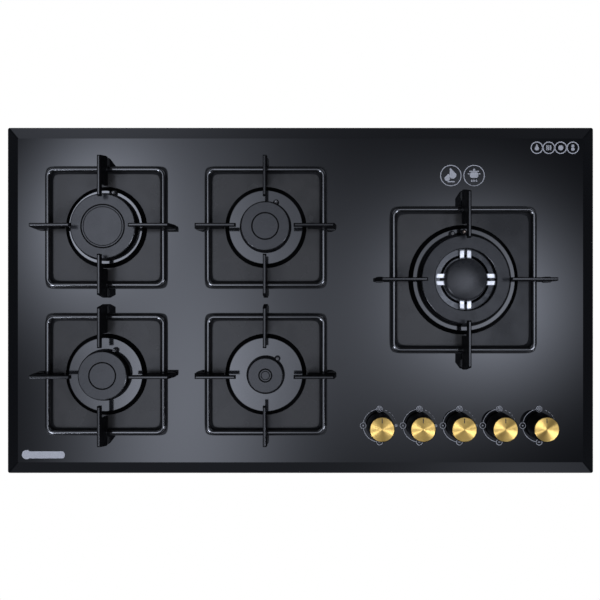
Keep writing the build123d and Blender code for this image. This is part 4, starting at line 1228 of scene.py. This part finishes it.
# %% Softboxes lower down
# azimuth and elevation in degrees, half width in degrees, strength
LOW_SOFTBOXES = (
    (-30.0, 50.0, 6.0, 16.0),
    (226.0, 48.0, 6.0, 22.0),
)


def softbox(tree, direction, box):
    """A round soft light in one direction."""
    azimuth, elevation, spread, strength = box
    flat = cos(radians(elevation))
    aim = (flat * cos(radians(azimuth)), flat * sin(radians(azimuth)), sin(radians(elevation)))
    facing = put(tree, "ShaderNodeVectorMath", {0: direction, 1: aim}, operation="DOT_PRODUCT")
    edge = cos(radians(spread * 1.4))
    core = cos(radians(spread * 0.6))
    return remap(tree, facing.outputs["Value"], edge, core, 0.0, strength)


# %% [markdown]
# ## Walls and a fill from below
# Seen from a low side, the glass mirrors the walls, so they are pale near the corners of
# the room. The rods run square to the room, so from above they don't mirror the corners.
# A soft fill comes from below, and the glass keeps it away from everything above it.

# %% Pale corners
FILL_BELOW = 0.45
WALL_LIGHT = 0.50


def wall_glow(tree, x, y, z):
    """A band above the horizon, brightest at the four corners of the room."""
    band = times(tree, rise(tree, z, 0.0, 0.1), fall(tree, z, 0.36, 0.56))
    product = calc(tree, "ABSOLUTE", times(tree, x, y))
    flat = scaled(tree, x, x, times(tree, y, y))
    corner = calc(tree, "POWER", calc(tree, "DIVIDE", product, flat), 3.0)
    share = scaled(tree, corner, 7.4, 0.08)
    return times(tree, times(tree, band, share), WALL_LIGHT)


# %% Light the studio
STUDIO_TINT = (0.90, 0.965, 1.14, 1.0)
PAPER_WHITE = (1.0, 1.0, 1.0, 1.0)


def light_the_studio():
    world = bpy.data.worlds.new("studio")
    bpy.context.scene.world = world
    world.use_nodes = True
    tree = world.node_tree
    direction = put(tree, "ShaderNodeTexCoord").outputs["Generated"]
    x, y, z = split(tree, direction)
    up = calc(tree, "MAXIMUM", z, 0.05)
    u = calc(tree, "DIVIDE", x, up)
    v = calc(tree, "DIVIDE", y, up)
    light = remap(tree, z, 0.2, 0.6, 0.004, 0.03)
    light = plus(tree, remap(tree, z, -0.45, -0.08, FILL_BELOW, 0.0), light)
    light = plus(tree, wall_glow(tree, x, y, z), light)
    for patch in CEILING_PATCHES:
        light = plus(tree, ceiling_patch(tree, u, v, patch), light)
    for box in LOW_SOFTBOXES:
        light = plus(tree, softbox(tree, direction, box), light)
    seen = put(tree, "ShaderNodeLightPath").outputs["Is Camera Ray"]
    strength = calc(tree, "MAXIMUM", seen, light)
    colour = blend(tree, seen, STUDIO_TINT, PAPER_WHITE)
    background = tree.nodes["Background"]
    tree.links.new(colour, background.inputs[0])
    tree.links.new(strength, background.inputs[1])


light_the_studio()
print("studio lit by", len(CEILING_PATCHES), "patches and", len(LOW_SOFTBOXES), "softboxes")

# %% [markdown]
# ## The floor
# The cooktop floats on plain white paper in the photograph. Real paper would throw light
# back at the sides of the rods and knobs, which are black in the photograph, so this floor
# glows evenly for the camera alone and is left out of every reflection. From below it is
# clear, so the underside can be looked at too.

# %% White paper
FLOOR_SIZE = 30.0
FLOOR_GAP = 15 * mm


def make_floor():
    level = packed_box[0].z - FLOOR_GAP
    bpy.ops.mesh.primitive_plane_add(size=FLOOR_SIZE, location=(0, 0, level))
    floor = bpy.context.object
    floor.name = "floor"
    glow = {"Base_Color": (0, 0, 0, 1), "Emission_Color": PAPER_WHITE, "Emission_Strength": 1.0}
    tree = new_finish("white_paper", IOR=1.0, **glow)[0]
    seen_from_below = put(tree, "ShaderNodeNewGeometry").outputs["Backfacing"]
    shader = tree.nodes["Principled BSDF"]
    tree.links.new(opposite(tree, seen_from_below), shader.inputs["Alpha"])
    paint(floor, "white_paper")
    for ray in ("diffuse", "glossy", "transmission", "shadow"):
        setattr(floor, f"visible_{ray}", False)
    return floor


floor = make_floor()
print("floor at", round(floor.location.z / mm), "mm")

# %% [markdown]
# ## Camera and tones
# The camera hangs over the middle of the glass and looks straight down. Its height comes
# from perspective: the tops of the fingers stand higher, so they show a little further
# from the middle than their feet, by as much as the height gives. The Standard view keeps
# the tones as they are and the paper white.

# %% Camera
CAMERA_HEIGHT = 0.960
SEEN_WIDTH = 0.9025
CAMERA_OFFSET = (-0.7 * mm, 0.6 * mm)
SENSOR = 36.0
camera_data = bpy.data.cameras.new("camera")
camera_data.sensor_width = SENSOR
camera_data.lens = SENSOR * CAMERA_HEIGHT / SEEN_WIDTH
camera = bpy.data.objects.new("camera", camera_data)
camera.location = (*CAMERA_OFFSET, glass_top + CAMERA_HEIGHT)
bpy.context.collection.objects.link(camera)
bpy.context.scene.camera = camera
bpy.context.scene.view_settings.view_transform = "Standard"
print("camera", round(camera.location.z, 3), "m up, lens", round(camera_data.lens, 2), "mm")
